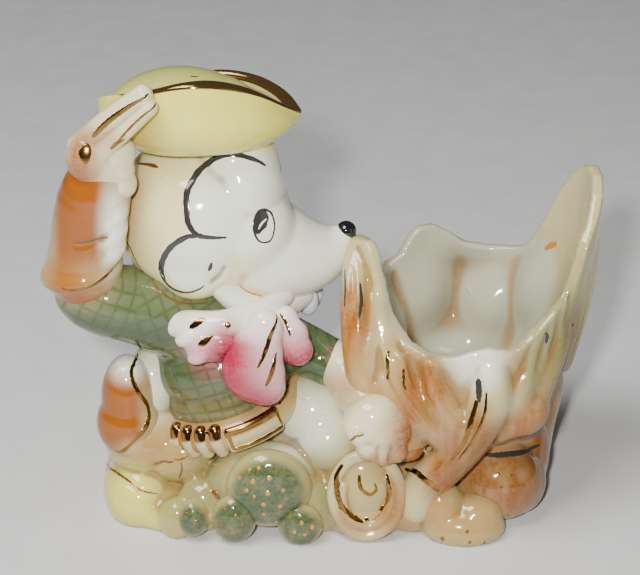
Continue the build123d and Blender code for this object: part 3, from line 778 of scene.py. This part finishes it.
glaze.airbrush([
    ((-76, -33, 135), (5, 6, 9), ORANGE, 0.85), ((-78, -28, 127), (8, 10, 5), ORANGE, 0.8),
    ((-68, -31, 140), (5, 4, 4), ORANGE, 0.45), ((26, -42, 39), (8, 9, 10), ORANGE, 0.9),
    ((19, -42, 31), (12, 8, 4.5), ORANGE, 0.8), ((6, -30, 50), (7, 9, 6), ORANGE, 0.5),
    ((10, -36, 55), (7, 8, 5), ORANGE, 0.4),
], 0.7)
hand_paint = glaze.fired()
place(hand, "pottery", "ivory_glaze", ["right_palm", "right_thumb"], hand_paint)
finger_eggs = roll([(-77, -26.5, 135, 4), (-66, -29.5, 145.5, 3.7), (-56, -32.3, 154.3, 3.3)])
finger_eggs += roll([(-70, -28.5, 134.5, 3.8), (-62, -30.5, 142.5, 3.4), (-54.3, -32.8, 150.4, 3.0)])
fingers = clay("right_fingers", finger_eggs, 0.5, 3)
place(fingers, "pottery", "ivory_glaze", ["right_fingers"], hand_paint)
brush("finger_gold", [fingers, hand], [
    [(-72, -32, 140, 1.2), (-69, -32.5, 143.5, 1.7), (-65.5, -33.5, 147, 1.7), (-60.5, -34.5, 151, 1.4),
     (-54, -34.5, 155.5, 0.6)],
    [(-65.5, -32.5, 137, 0.8), (-61.5, -34, 142.5, 0.8), (-56, -35.5, 148.5, 0.7), (-52, -33, 152, 0.5)],
    [(-66.5, -32.5, 136.5, 0.9), (-64.5, -33, 138.5, 1.4), (-62, -33, 140, 0.8)],
    [(-74, -31.5, 138, 1.9), (-74, -32.5, 136.5, 3.4), (-74.5, -33, 134.5, 3.7), (-74, -33.5, 132, 2.2)],
], gold_paint, "gold_lustre")


# ---------------------------------------------------------------- flared chap
# A separate clay sprig pressed on the near leg, airbrushed orange and left pale at its edges,
# with a line of fired gold brushed round it.
chap_eggs = [
    egg((-66, -21, 42), (9, 10, 15.5)),
    egg((-66, -22, 33), (11, 10.5, 12)),
    egg((-64, -22, 28), (9, 10, 9)),
]
chap = clay("right_chap", chap_eggs, 0.8, 14)
glaze = Glaze("chap_glaze", ORANGE)
glaze.airbrush([
    ((-64, -20, 58), (10, 14, 7), WHITE, 0.9), ((-56, -28, 42), (5, 10, 13), IVORY, 0.8),
    ((-61, -32, 27), (8, 9, 5), IVORY, 0.7), ((-80, -20, 36), (3.5, 12, 18), IVORY, 0.6),
])
place(chap, "pottery", "orange_glaze", ["right_chap"], glaze.fired())
brush("chap_line", [chap, ground], [
    [(-63, -13.5, 54, 0.7), (-64, -26, 54.5, 1.2), (-62, -29, 49, 1.5), (-59, -27, 41, 1.5),
     (-59.5, -29.5, 36, 1.7), (-63.5, -32, 31.5, 1.3), (-69.5, -29.5, 25.5, 1.2),
     (-75, -25.5, 27.5, 0.7)],
], gold_paint, "gold_lustre")


# ---------------------------------------------------------------- belt, cartridges and buckle
# A thick rolled clay belt with five cartridges and an open rectangular buckle, each a small pressed
# sprig.  Copper-brown in the hollows between them is pooled glaze and painted shade; fired gold caps
# them.
def round_waist(angle, out, along_body=0.0):
    """A point on the tilted belt line."""
    tilt, turn = math.radians(18), math.radians(angle)
    across, over = (23.8 + out) * math.cos(turn), (30.2 + out) * math.sin(turn)
    return (-31 + across * math.cos(tilt) - along_body * math.sin(tilt), -4 + over,
            35 + across * math.sin(tilt) + along_body * math.cos(tilt))


belt_eggs = roll([(*round_waist(a, -0.4, 0.2), 5.6) for a in range(0, 361, 12)])
belt = clay("cartridge_belt", belt_eggs, 0.8, 4)
glaze = Glaze("belt_glaze", IVORY)
glaze.spray(BLUSH, glaze.axis((-0.31, 0, 0.95), 41, 46), 0.6)
glaze.spray(ORANGE, glaze.spot((-45, -34, 32), (20, 9, 6), 0.7), 0.75)
place(belt, "pottery", "gold_lustre", ["cartridge_belt"], glaze.fired())
round_eggs = []
for angle in (-146, -134, -122.5, -111, -99.5):
    round_eggs += roll([(*round_waist(angle, 2.4, 4.0), 2.5), (*round_waist(angle, 3.4, 0.4), 2.7),
                        (*round_waist(angle, 2.6, -3.6), 2.3)])
rounds = clay("cartridges", round_eggs, 0.5, 4)
glaze = Glaze("cartridge_glaze", IVORY)
# Copper-brown in the hollows between the cartridges: pooled glaze and painted shade between them.
glaze.spray((0.50, 0.22, 0.06), glaze.attribute("hollow").ramp(-0.05, 0.35), 0.8)
capped = glaze.axis((-0.31, 0, 0.95), 44.6, 45.6)
# The gold caps are dark bronze, which paints in the dark surroundings they reflect.
glaze.spray((0.34, 0.185, 0.05), capped, 1.0, 0.0)
glaze.gild(capped)
round_paint = glaze.fired()
place(rounds, "pottery", "gold_lustre", ["cartridges"], round_paint)


def buckle_sides(corners):
    """Each side of the buckle as five (angle, height) steps between its corners."""
    return [[(a + (c - a) * share, b + (d - b) * share) for share in (0, 0.25, 0.5, 0.75, 1)]
            for (a, b), (c, d) in zip(corners, corners[1:])]


buckle_eggs = [egg(round_waist(a, 2.4, 0.4), 3.4) for a in range(-87, -55, 4)]
for side in buckle_sides(((-90, 3.6), (-56, 3.6), (-56, -2.8), (-90, -2.8), (-90, 3.6))):
    buckle_eggs += roll([(*round_waist(angle, 4.2, height), 1.5) for angle, height in side])
buckle = clay("belt_buckle", buckle_eggs, 0.4, 5)
place(buckle, "pottery", "gold_lustre", ["belt_buckle"], round_paint)
BUCKLE_EDGE = ((-90, 4.4), (-56, 4.4), (-54, -2.6), (-90, -2.6), (-90, 4.4))
gilded_sides = [[(*round_waist(angle, 6, height), 1.2) for angle, height in side]
                for side in buckle_sides(BUCKLE_EDGE)]
brush("buckle_gold", [buckle], gilded_sides, gold_paint, "gold_lustre")
brush("belt_gold", [belt], [
    [(-15.5, -30, 44, 0.8), (-14, -26, 45.5, 1.2), (-12.5, -21, 46.5, 0.7)],
], gold_paint, "gold_lustre")
brush("belt_crease", [belt, ground], [
    [(-50, -29.5, 30, 0.5), (-47, -32, 28, 0.7), (-42.5, -34, 28, 0.5)],
], brown, "gold_lustre")


# ---------------------------------------------------------------- lowered hand
# Gauntlet and fist of the far arm, closed over the coiled lasso: two castings luted to the
# sleeve, with the finger creases tooled in and orange sprayed on the fist's far side.
cuff = clay("left_gauntlet", roll([(4, -18, 53, 8), (10, -26, 49, 8.5), (14, -33, 45, 8)]))
place(cuff, "pottery", "orange_glaze", ["left_gauntlet"], hand_paint)
fist_eggs = [
    egg((15.5, -38, 42.5), (10, 8.5, 9.8)),
    egg((19.5, -39, 39.5), (8.8, 8, 9)),
    egg((13.5, -42, 35), (4, 4.5, 4.5)),
    egg((18.5, -43, 33.5), (4, 4.5, 4.5)),
    egg((23, -42, 34), (3.8, 4.5, 4.5)),
    egg((10.5, -42, 41), (4.5, 4.5, 6), (0, -30, 0)),
]
fist = clay("left_fist", fist_eggs, 0.6, 7)
press(fist, [(7.6, -42.5, 37.5, 0.9), (9.6, -46.3, 40.7, 0.9), (12.8, -46.2, 42.5, 0.9)], -0.8)
for x in (16.2, 20.9):
    press(fist, [(x + 0.6, -47, 39, 0.9), (x, -47, 35, 0.9), (x - 0.4, -46, 31, 0.9)], -1.1)
place(fist, "pottery", "ivory_glaze", ["left_fist"], hand_paint)
brush("fist_crease", [fist], [
    [(7.5, -44, 38.5, 0.7), (9.5, -46.5, 41, 1), (12, -46, 42, 0.6)],
], brown, "gold_lustre")


# ---------------------------------------------------------------- bandana
# Four pressed clay sprigs, collar, knot and two leaf-shaped tails, luted over the shirt.  They
# are sprayed crimson at the tips over white and touched with gold.
collar_eggs = roll([(-56, -20, 68, 3.4), (-46, -27, 72.4, 4.6), (-36, -30, 73.4, 5),
                    (-28, -29, 74.4, 5), (-20, -24, 76, 4.4), (-14, -18, 78, 3.6)])
collar = clay("bandana_collar", collar_eggs, 0.6, 8)
glaze = Glaze("bandana_glaze", (0.84, 0.72, 0.66))
# Crimson in the hollows of the bandana: pooled glaze and painted shade.
glaze.pooled_and_shade = (0.55, 0.10, 0.14)
glaze.airbrush([
    ((-36, -32, 66), (10, 8, 6), PINK, 0.9), ((-27, -37, 63), (9, 8, 15), PINK, 0.85),
    ((-31, -37, 62), (6.5, 8, 14), CRIMSON, 0.95), ((-20, -37, 50), (9, 7, 7), CRIMSON, 0.85),
    ((-27, -38, 54), (7, 7, 8), CRIMSON, 0.6), ((-21, -40, 58), (6, 6, 9), CRIMSON, 0.4),
    ((-14, -38, 64), (4, 6, 12), PINK, 0.45), ((-22, -33, 76), (8, 6, 5), WHITE, 0.7),
    ((-8, -31, 62), (9, 7, 7), CRIMSON, 0.95), ((-10, -31, 70), (8, 7, 5), PINK, 0.5),
    ((-46, -27, 73), (10, 8, 5), WHITE, 0.5),
])
pink = glaze.fired()
place(collar, "pottery", "bandana_glaze", ["bandana_collar"], pink)
knot_eggs = [
    egg((-44, -31.5, 70.6), (5.4, 4, 3.4), (0, -28, 0)),
    egg((-40.5, -33, 64.8), (5, 4, 3), (0, -30, 0)),
    egg((-34, -33.5, 69), (5, 3.6, 4)),
    egg((-37.5, -31, 67.5), (9, 5, 6.5)),
]
knot = clay("bandana_knot", knot_eggs, 0.5, 12)
place(knot, "pottery", "bandana_glaze", ["bandana_knot"], pink)
near_tail_eggs = [
    egg((-20, -33, 73), (6.4, 5, 8)),
    egg((-22.6, -35, 66), (9, 5, 10)),
    egg((-23.5, -36, 60), (10.4, 6, 11.5), (0, -14, 0)),
    egg((-20, -36.5, 55.5), (7, 4.6, 8), (0, -12, 0)),
]
near_tail = clay("bandana_near_tail", near_tail_eggs, 0.6, 22)
place(near_tail, "pottery", "bandana_glaze", ["bandana_near_tail"], pink)
far_tail_eggs = [
    egg((-13, -27, 73), (4.4, 4, 6)),
    egg((-11.5, -29, 68.5), (6, 4, 7), (0, 10, 0)),
    egg((-9.4, -30, 64.5), (5.4, 3.8, 5.6)),
]
far_tail = clay("bandana_far_tail", far_tail_eggs, 0.5, 16)
place(far_tail, "pottery", "bandana_glaze", ["bandana_far_tail"], pink)
brush("bandana_gold", [collar, knot, near_tail, far_tail], [
    [(-44, -33, 74, 1.3), (-41.5, -33, 76, 2.2), (-39, -32.5, 77.5, 1.3)],
    [(-41, -34.5, 69, 1.3), (-39, -34.5, 70, 2.1), (-36.5, -35, 72.5, 1)],
    [(-32.5, -34.5, 76, 1.9), (-31.5, -34.5, 76, 2.6), (-30.5, -34.5, 76, 1.9)],
    [(-16, -32.5, 79, 0.5), (-17.5, -37.5, 74.5, 1.3), (-19.5, -39.5, 69, 1.4), (-22, -41, 64, 0.6)],
    [(-16, -38, 68, 0.6), (-17.5, -40, 62.5, 1.6), (-19.5, -41, 57.5, 1)],
    [(-15, -29, 77.5, 0.7), (-13, -31, 75, 1), (-11.5, -32.5, 71, 0.6)],
], gold_paint, "gold_lustre")


# ---------------------------------------------------------------- cactus
# One large pad and three small ones, pressed in clay against the front of the ground casting.
# Their faces are stippled green, and single dabs of copper and brass lustre are the spines.
cactus = stand(clay("cactus_large_pad", [egg((-19, -40, 18), (14.5, 8, 15.5), (8, 0, 0))], 0.8))
glaze = Glaze("cactus_glaze", (0.36, 0.31, 0.12))
pads = glaze.spot((-19, -46, 19), (12, 9, 12.5), 0.14)
for centre, radii in (((-30.5, -47, 8.5), (6.6, 6, 7.8)), ((-44, -44, 8), (4.4, 5, 5.8)),
                      ((-8.5, -46, 6.3), (6.4, 5, 6.6))):
    pads = pads.most(glaze.spot(centre, radii, 0.2))
blotches = glaze.noise(240, 3, 0.6, seed=0.8).ramp(0.25, 0.6, 0.72, 1.0)
glaze.spray(SAGE, pads * blotches, 0.95)
glaze.bump(glaze.noise(330, 2, 0.6, seed=0.2) * pads, 0.3)
green = glaze.fired()
place(cactus, "pottery", "cactus_glaze", ["cactus_large_pad"], green)
small_eggs = [
    egg((-30.5, -43, 8), (7.5, 5.6, 9)),
    egg((-44, -41.5, 7.5), (5.5, 5, 7)),
    egg((-8.5, -43.5, 6), (7.5, 5, 8)),
]
small = stand(clay("cactus_small_pads", small_eggs, 0.6, 5))
place(small, "pottery", "cactus_glaze", ["cactus_small_pads"], green)
brush("spines_copper", [cactus, small], dots([
    (-28.5, -45.5, 25.5, 1.3), (-22, -46, 29.5, 1.3), (-24, -47.5, 25, 1.6), (-18.5, -47.5, 26.5, 1.6),
    (-19, -48, 21, 1.6), (-26, -47, 21.5, 1.3), (-20.5, -47.5, 16.5, 1.6), (-15, -47.5, 15.5, 1.6),
    (-20.5, -47, 12, 1.3), (-16.5, -44.5, 7.5, 1.3), (-32.5, -43, 19.5, 1), (-25, -45.5, 28.5, 1),
    (-14, -47.5, 22, 1.3), (-23.5, -47.5, 19.5, 1), (-8, -48, 9.5, 1.3), (-4.5, -47.5, 7.5, 1.7),
    (-10.5, -48.5, 6, 1.3), (-7, -48.5, 5, 1),
]), copper, "gold_lustre")
brush("spines_brass", [small, cactus], dots([
    (-33.5, -46.5, 13.5, 1.3), (-29.5, -48, 12, 1.6), (-35, -47.5, 8.5, 1.7), (-30, -48, 5, 1.3),
    (-32, -48.5, 6.5, 1), (-27.5, -48, 8.5, 1), (-46, -45, 11, 1.3), (-43, -46.5, 8.5, 1.7),
    (-44.5, -44.5, 13, 1),
]), brass, "gold_lustre")


# ---------------------------------------------------------------- lasso
# Two turns of rolled clay rope laid flat against the ground casting under the fist, sprayed
# lightly with orange, with a gold line brushed along the rope.
def coil(radius_x, radius_z, start, end, thick, forward=0.0):
    """Rope wound round the middle of the lasso and leaning back as it rises."""
    return roll([(13.5 + radius_x * math.cos(t), -40.5 - forward + 0.25 * radius_z * math.sin(t),
                  15.5 + radius_z * math.sin(t), thick)
                 for t in np.radians(np.arange(start, end + 1, 12))])


lasso = clay("lasso_rope", coil(11.2, 13.5, 0, 360, 2.1) + coil(8, 9.8, -200, 40, 1.7, 0.6), 0.5, 2)
glaze = Glaze("rope_glaze", IVORY)
glaze.spray(ORANGE, glaze.spot((22, -42, 12), (6, 7, 10), 0.7), 0.75)
glaze.spray(ORANGE, glaze.spot((8, -43, 7), (8, 7, 5), 0.7), 0.5)
glaze.spray(BLUSH, glaze.spot((13.5, -42, 16), (9, 6, 11), 0.4), 0.4)
place(lasso, "pottery", "orange_glaze", ["lasso_rope"], glaze.fired())
brush("lasso_gold", [lasso, ground], [
    [(5.5, -39.5, 27, 1), (3.5, -40.5, 23.5, 1.6), (3.5, -41.5, 20, 2), (4, -42, 16, 2.2),
     (5.5, -43.5, 12.5, 2), (9.5, -44, 9, 2), (13, -43.5, 7.5, 2), (16.5, -42.5, 8.5, 2),
     (19, -41, 11, 2), (20.5, -42.5, 16, 2), (20.5, -42, 19.5, 1.7), (20, -40, 23.5, 1)],
    [(11, -40, 23.5, 0.7), (11, -41, 20.5, 1.2), (12, -41.5, 18, 1.3), (14.5, -41.5, 16.5, 1.3),
     (16.5, -41, 18, 1), (16, -41, 20.5, 0.5)],
], gold_paint, "gold_lustre")


# ---------------------------------------------------------------- stump with the open pocket
# The planter casting: a thin glazed wall with a torn, scalloped rim that rises to a tall
# splinter, its bark modelled in long soft folds.
RIM = [
    (-180, 92), (-172, 94), (-165, 95.5), (-157, 96.5), (-151, 94), (-146, 86), (-139, 75), (-126, 67),
    (-114, 64.8), (-100, 65), (-90, 67.7), (-82, 68.2), (-71, 66.3), (-64, 68.6), (-54, 74.5),
    (-43, 79.5), (-38, 83), (-35, 90), (-31, 97), (-21, 103), (-10, 109), (0, 113), (12, 113.5),
    (22, 111), (30, 106), (38, 98), (44, 89), (49, 79), (54, 73.5), (63, 72), (75, 71.7), (90, 73),
    (100, 76.5), (108, 79.5), (117, 79.5), (123, 76), (129, 70.5), (143, 67), (152, 70), (162, 78),
    (172, 87), (180, 92),
]
rim_angle, rim_height = np.array(RIM, float).T
LEVELS = [
    (8, 46, 27, 28), (20, 46, 29, 31), (32, 46, 31.5, 34), (45, 46.5, 34, 36.5), (60, 47.5, 37, 38),
    (74, 48.5, 39, 38), (92, 49.5, 40.5, 38), (114, 51, 40, 38),
]
level_z, level_x, level_rx, level_ry = np.array(LEVELS, float).T
LOBES = [  # angle, height, width, tallness, bulge: the wall is pushed in and out in broad soft lobes
    (116, 54, 16, 13, -8.5), (68, 50, 18, 12, -8.5), (38, 62, 12, 13, -7), (150, 46, 15, 12, -8),
    (92, 58, 7, 12, 2), (135, 58, 5, 14, 2.5), (92, 32, 32, 9, -10), (52, 44, 7, 16, 2),
    (0, 64, 9, 20, -3), (168, 66, 9, 14, -3), (90, 72, 18, 6, -2.5), (-90, 34, 40, 8, -3),
]
WALL = 4.0
FOOT = 8
AROUND, UP = 240, 64
verts, faces = [], []
for j in range(UP + 1):
    for i in range(AROUND):
        a = 360 * i / AROUND - 180
        top = np.interp(a, rim_angle, rim_height)
        z = FOOT + (top - FOOT) * j / UP
        cx, rx, ry = (np.interp(z, level_z, v) for v in (level_x, level_rx, level_ry))
        t = math.radians(a)
        bulge = sum(size * math.exp(-((a - at) / wide) ** 2 - ((z - height) / tall) ** 2)
                    for at, height, wide, tall, size in LOBES)
        verts.append(((cx + (rx + bulge) * math.cos(t)) * MM, (ry + bulge) * math.sin(t) * MM, z * MM))
for j in range(UP):
    for i in range(AROUND):
        n = (i + 1) % AROUND
        faces.append([j * AROUND + i, j * AROUND + n, (j + 1) * AROUND + n, (j + 1) * AROUND + i])
stump = build("stump", verts, faces)
only(stump)
wall = stump.modifiers.new("wall", "SOLIDIFY")
wall.thickness, wall.offset = WALL * MM, -1
bpy.ops.object.modifier_apply(modifier="wall")
stump_eggs = [stump, egg((46, 0, 20), (30, 31, 7)), egg((46, 0, 12), (28, 30, 10))]
for strand in (
    [(9.5, -7, 91, 3.2), (9.5, -14, 85, 4.6), (10, -21, 76, 5.8), (11.5, -26, 66, 6.8),
     (13.5, -29, 55, 7.4), (19, -31, 46, 8)],
    [(11, -12, 88, 3), (14, -20, 77, 5), (17.5, -26, 67, 6), (21, -30, 58, 6), (24, -32, 47, 8),
     (26, -32, 36, 9)],
    [(23, -32, 62, 3.6), (25, -34.5, 54, 4.4), (31, -37, 44, 5), (39, -38.5, 36, 5)],
    [(34, -35.5, 62, 3), (35.5, -37, 54, 3.8), (40, -39, 45, 4.4), (45, -40, 37, 4.6)],
    [(53, -34, 60, 6), (53.5, -36.5, 52, 7), (51, -38.5, 43, 7), (45, -38.5, 33, 7), (38, -38, 24, 7),
     (32, -37, 17, 7), (30, -37, 10, 7)],
    [(68, -28, 64, 3), (65, -32, 55, 4), (60, -34, 46, 5)],
    [(77, -21, 70, 3), (75, -25, 60, 4), (70, -28, 50, 5)],
):
    stump_eggs += roll(strand)
stump_eggs += [egg((63.5, -29.5, 41), (11, 8.5, 9), (0, -28, 0)),
               egg((57, -31.5, 36), (9, 6.5, 5), (0, -28, 0))]
for strand in (
    [(74, 1, 50, 7), (74, 3, 34, 8.5), (71, 5, 18, 9.5), (69, 5, 4, 10)],
    [(86, -8, 92, 2.4), (84, -13, 78, 3), (80, -17, 64, 3.6), (75, -19, 50, 4)],
    [(88.5, -3, 96, 2.4), (87.5, -6, 82, 3), (84, -9, 66, 3.6), (79, -12, 50, 4)],
):
    stump_eggs += roll(strand)
stump_eggs += [egg((58, -27, 13), (15, 13, 14)), egg((65, -22, 10), (10, 12, 12)),
               egg((68, -10, 14), (9, 14, 16))]
stump = stand(clay("stump", stump_eggs, 0.85, 6))


def away_from_rim(places):
    """Full low on the stump, nothing within a finger's width of its torn rim."""
    turn = np.degrees(np.arctan2(places[:, 1] / 38, (places[:, 0] - 47.5) / 37))
    return (np.interp(turn, rim_angle, rim_height) - 5 - places[:, 2]) / 9


sponge(stump, 34, away_from_rim)
BARK_WIDTH, BARK_DEPTH = 1.5, -0.9
for groove in (
    [(77.9, -24.7, 69), (79.9, -22.9, 82.8), (81.9, -18.9, 95.2)],
    [(72.4, -30.6, 56.6), (74.8, -27.2, 66.7), (77.6, -24.8, 80.1), (83.4, 5.3, 81.6)],
    [(67.9, -34.2, 55.7), (70.4, -30.5, 64.8), (72.9, -29.3, 75.2)],
    [(62.8, -35.1, 56.9), (65.2, -33.7, 64.7), (67.6, -32.1, 71.2)],
    [(18.7, -29.7, 71.7), (23.2, -36.3, 60.6), (30.4, -39.9, 49.6), (36.9, -42.4, 41.7)],
    [(16.1, -32.1, 67.5), (20, -36.3, 57.6), (26.5, -40.4, 48), (33.1, -42.3, 40.9)],
    [(23.9, -31.1, 65.9), (28.5, -35.4, 56.4), (34.9, -41, 48.4)],
    [(49.5, -38.7, 61.2), (49.5, -42.1, 52.8), (45.9, -44.9, 39.4), (39.8, -44.9, 28)],
    [(8.4, -15.5, 89.2), (8.4, -24.6, 80), (6.4, -30.6, 64.9)],
    [(13, -17.6, 87.4), (13.5, -26.3, 77.2), (11.6, -34.1, 63.1)],
    [(16.1, -26.1, 77.1), (17.4, -32.9, 66.1), (14.9, -37.1, 52.9)],
):
    press(stump, [(*point, BARK_WIDTH) for point in groove], BARK_DEPTH)
glaze = Glaze("stump_glaze", IVORY)
# Brown in the hollows of the stump: pooled glaze and painted shade.
glaze.pooled_and_shade = (0.26, 0.13, 0.03)
streaks = glaze.noise(120, 3, 0.6, seed=0.3, stretch=(1, 1, 0.12)).ramp(0.3, 0.62, 0.62, 1.0)
glaze.airbrush([
    ((9, -27, 75), (6, 10, 17), ORANGE, 1.0), ((7, -31, 60), (6, 8, 10), BLUSH, 0.9),
    ((17, -37, 48), (9, 8, 10), BLUSH, 0.8), ((32, -39, 56), (10, 9, 11), ORANGE, 1.0),
    ((29, -40, 41), (10, 8, 10), ORANGE, 0.85), ((23, -36, 66), (5, 7, 9), BLUSH, 0.7),
    ((46, -45, 38), (9, 9, 14), ORANGE, 1.0), ((40, -45, 26), (10, 9, 10), ORANGE, 1.0),
    ((63, -36, 39), (15, 11, 7), ORANGE, 1.0), ((72, -30, 44), (10, 13, 13), ORANGE, 0.8),
    ((75, -12, 34), (10, 18, 24), ORANGE, 0.9), ((60, -36, 17), (17, 14, 14), ORANGE, 1.0),
    ((72, -22, 12), (10, 15, 17), ORANGE, 0.9), ((76, -26, 68), (9, 10, 17), MOSS, 0.75),
    ((69, -32, 60), (8, 8, 11), MOSS, 0.65), ((84, -16, 82), (7, 12, 20), MOSS, 0.5),
    ((50, 36, 40), (32, 12, 24), ORANGE, 0.7), ((80, 20, 50), (12, 18, 28), MOSS, 0.5),
    ((59, -34, 61), (5, 6, 8), BLUSH, 0.6), ((12, 28, 50), (14, 14, 24), BLUSH, 0.6),
    ((50, -41, 36), (8, 8, 12), UMBER, 0.55), ((77, -15, 48), (9, 16, 22), UMBER, 0.7),
    ((70, -26, 20), (12, 12, 14), UMBER, 0.45), ((30, -38, 42), (9, 7, 6), UMBER, 0.3),
    ((44, -42, 27), (9, 8, 12), UMBER, 0.45), ((61, -36, 15), (17, 14, 13), UMBER, 0.4),
    ((82, -18, 66), (6, 8, 12), UMBER, 0.55), ((66, -33, 33), (14, 9, 4), UMBER, 0.6),
], 0.65, within=streaks)
glaze.spray(WHITE, glaze.spot((49, -38, 65), (9, 8, 9), 0.6), 0.75)
# The inside of the pocket is sprayed a darker grey-green: its own tint and the painted shade of the
# recess.
glaze.spray((0.40, 0.41, 0.30), glaze.spot((46.5, 0, 74), (35.4, 36.4, 60), 0.05), 0.85)
stump_paint = glaze.fired()
place(stump, "pottery", "stump_glaze",
      ["stump_pocket", "front_root", "side_root", "back_root", "speckled_boulder"], stump_paint)
brush("bark_black_and_gap_shadow", [stump], [
    [(11, -21, 84.5, 0.7), (11.5, -25, 80, 1.3), (10.5, -28.5, 75, 0.7)],
    [(6, -16, 87, 0.5), (6, -21, 82.5, 0.8), (6, -24.5, 77.5, 0.5)],
    [(49, -39, 59, 1), (49, -39.5, 57.5, 1.9), (49, -41.5, 54, 1.9), (49, -42, 51.5, 1)],
    [(71.5, -30.5, 71, 0.7), (72, -30, 69, 1.3), (71.5, -29.5, 66.5, 0.7)],
    [(80.5, -20.5, 69, 1), (81, -20, 68, 1.3)],
    # This last line runs along the gap between the side root and the boulder: black paint, and painted
    # shadow standing in for the depth of the gap.
    [(53, -31.5, 25.5, 1), (58, -32, 26, 2), (65, -29, 25, 2), (72.5, -19.5, 22, 0.8)],
], ink, "black_glaze")
brush("bark_gold", [stump, ground], [
    [(20.5, -33, 66, 0.8), (19.5, -34.5, 62.5, 1.3), (20, -36.5, 57, 0.8)],
    [(25, -36, 61, 0.7), (25, -37.5, 57.5, 1), (26, -38.5, 54.5, 0.7)],
    [(48.5, -41.5, 52.5, 1.3), (47, -43, 46.5, 1.6), (44.5, -45, 37.5, 1.5), (39, -44.5, 28.5, 0.8)],
    [(51.5, -42, 55.5, 0.7), (51, -44, 48.5, 1), (48, -45, 40.5, 1), (43, -45, 32, 0.7)],
    [(26.5, -33, 21, 1), (29.5, -39.5, 24, 1.7), (32, -43, 23.5, 2), (34.5, -44.5, 22, 2),
     (37, -44, 19, 1)],
], gold_paint, "gold_lustre")
brush("boulder_dots", [stump], dots([
    (57, -37, 21.5, 1.3), (52.5, -38.5, 16, 1.7), (62, -39, 14.5, 1.3), (55, -39.5, 11.5, 1.3),
    (61, -37.5, 5.5, 1.4), (61.5, -37, 21, 1), (48, -36, 11, 1), (58, -39, 17.5, 1),
    (65.5, -37, 17, 1.3),
]), brass, "gold_lustre")
brush("pocket_stain", [stump], [
    [(75, 19, 77, 1), (77, 18, 79, 2.1), (79, 16.5, 80.5, 1)],
], copper, "stump_glaze")
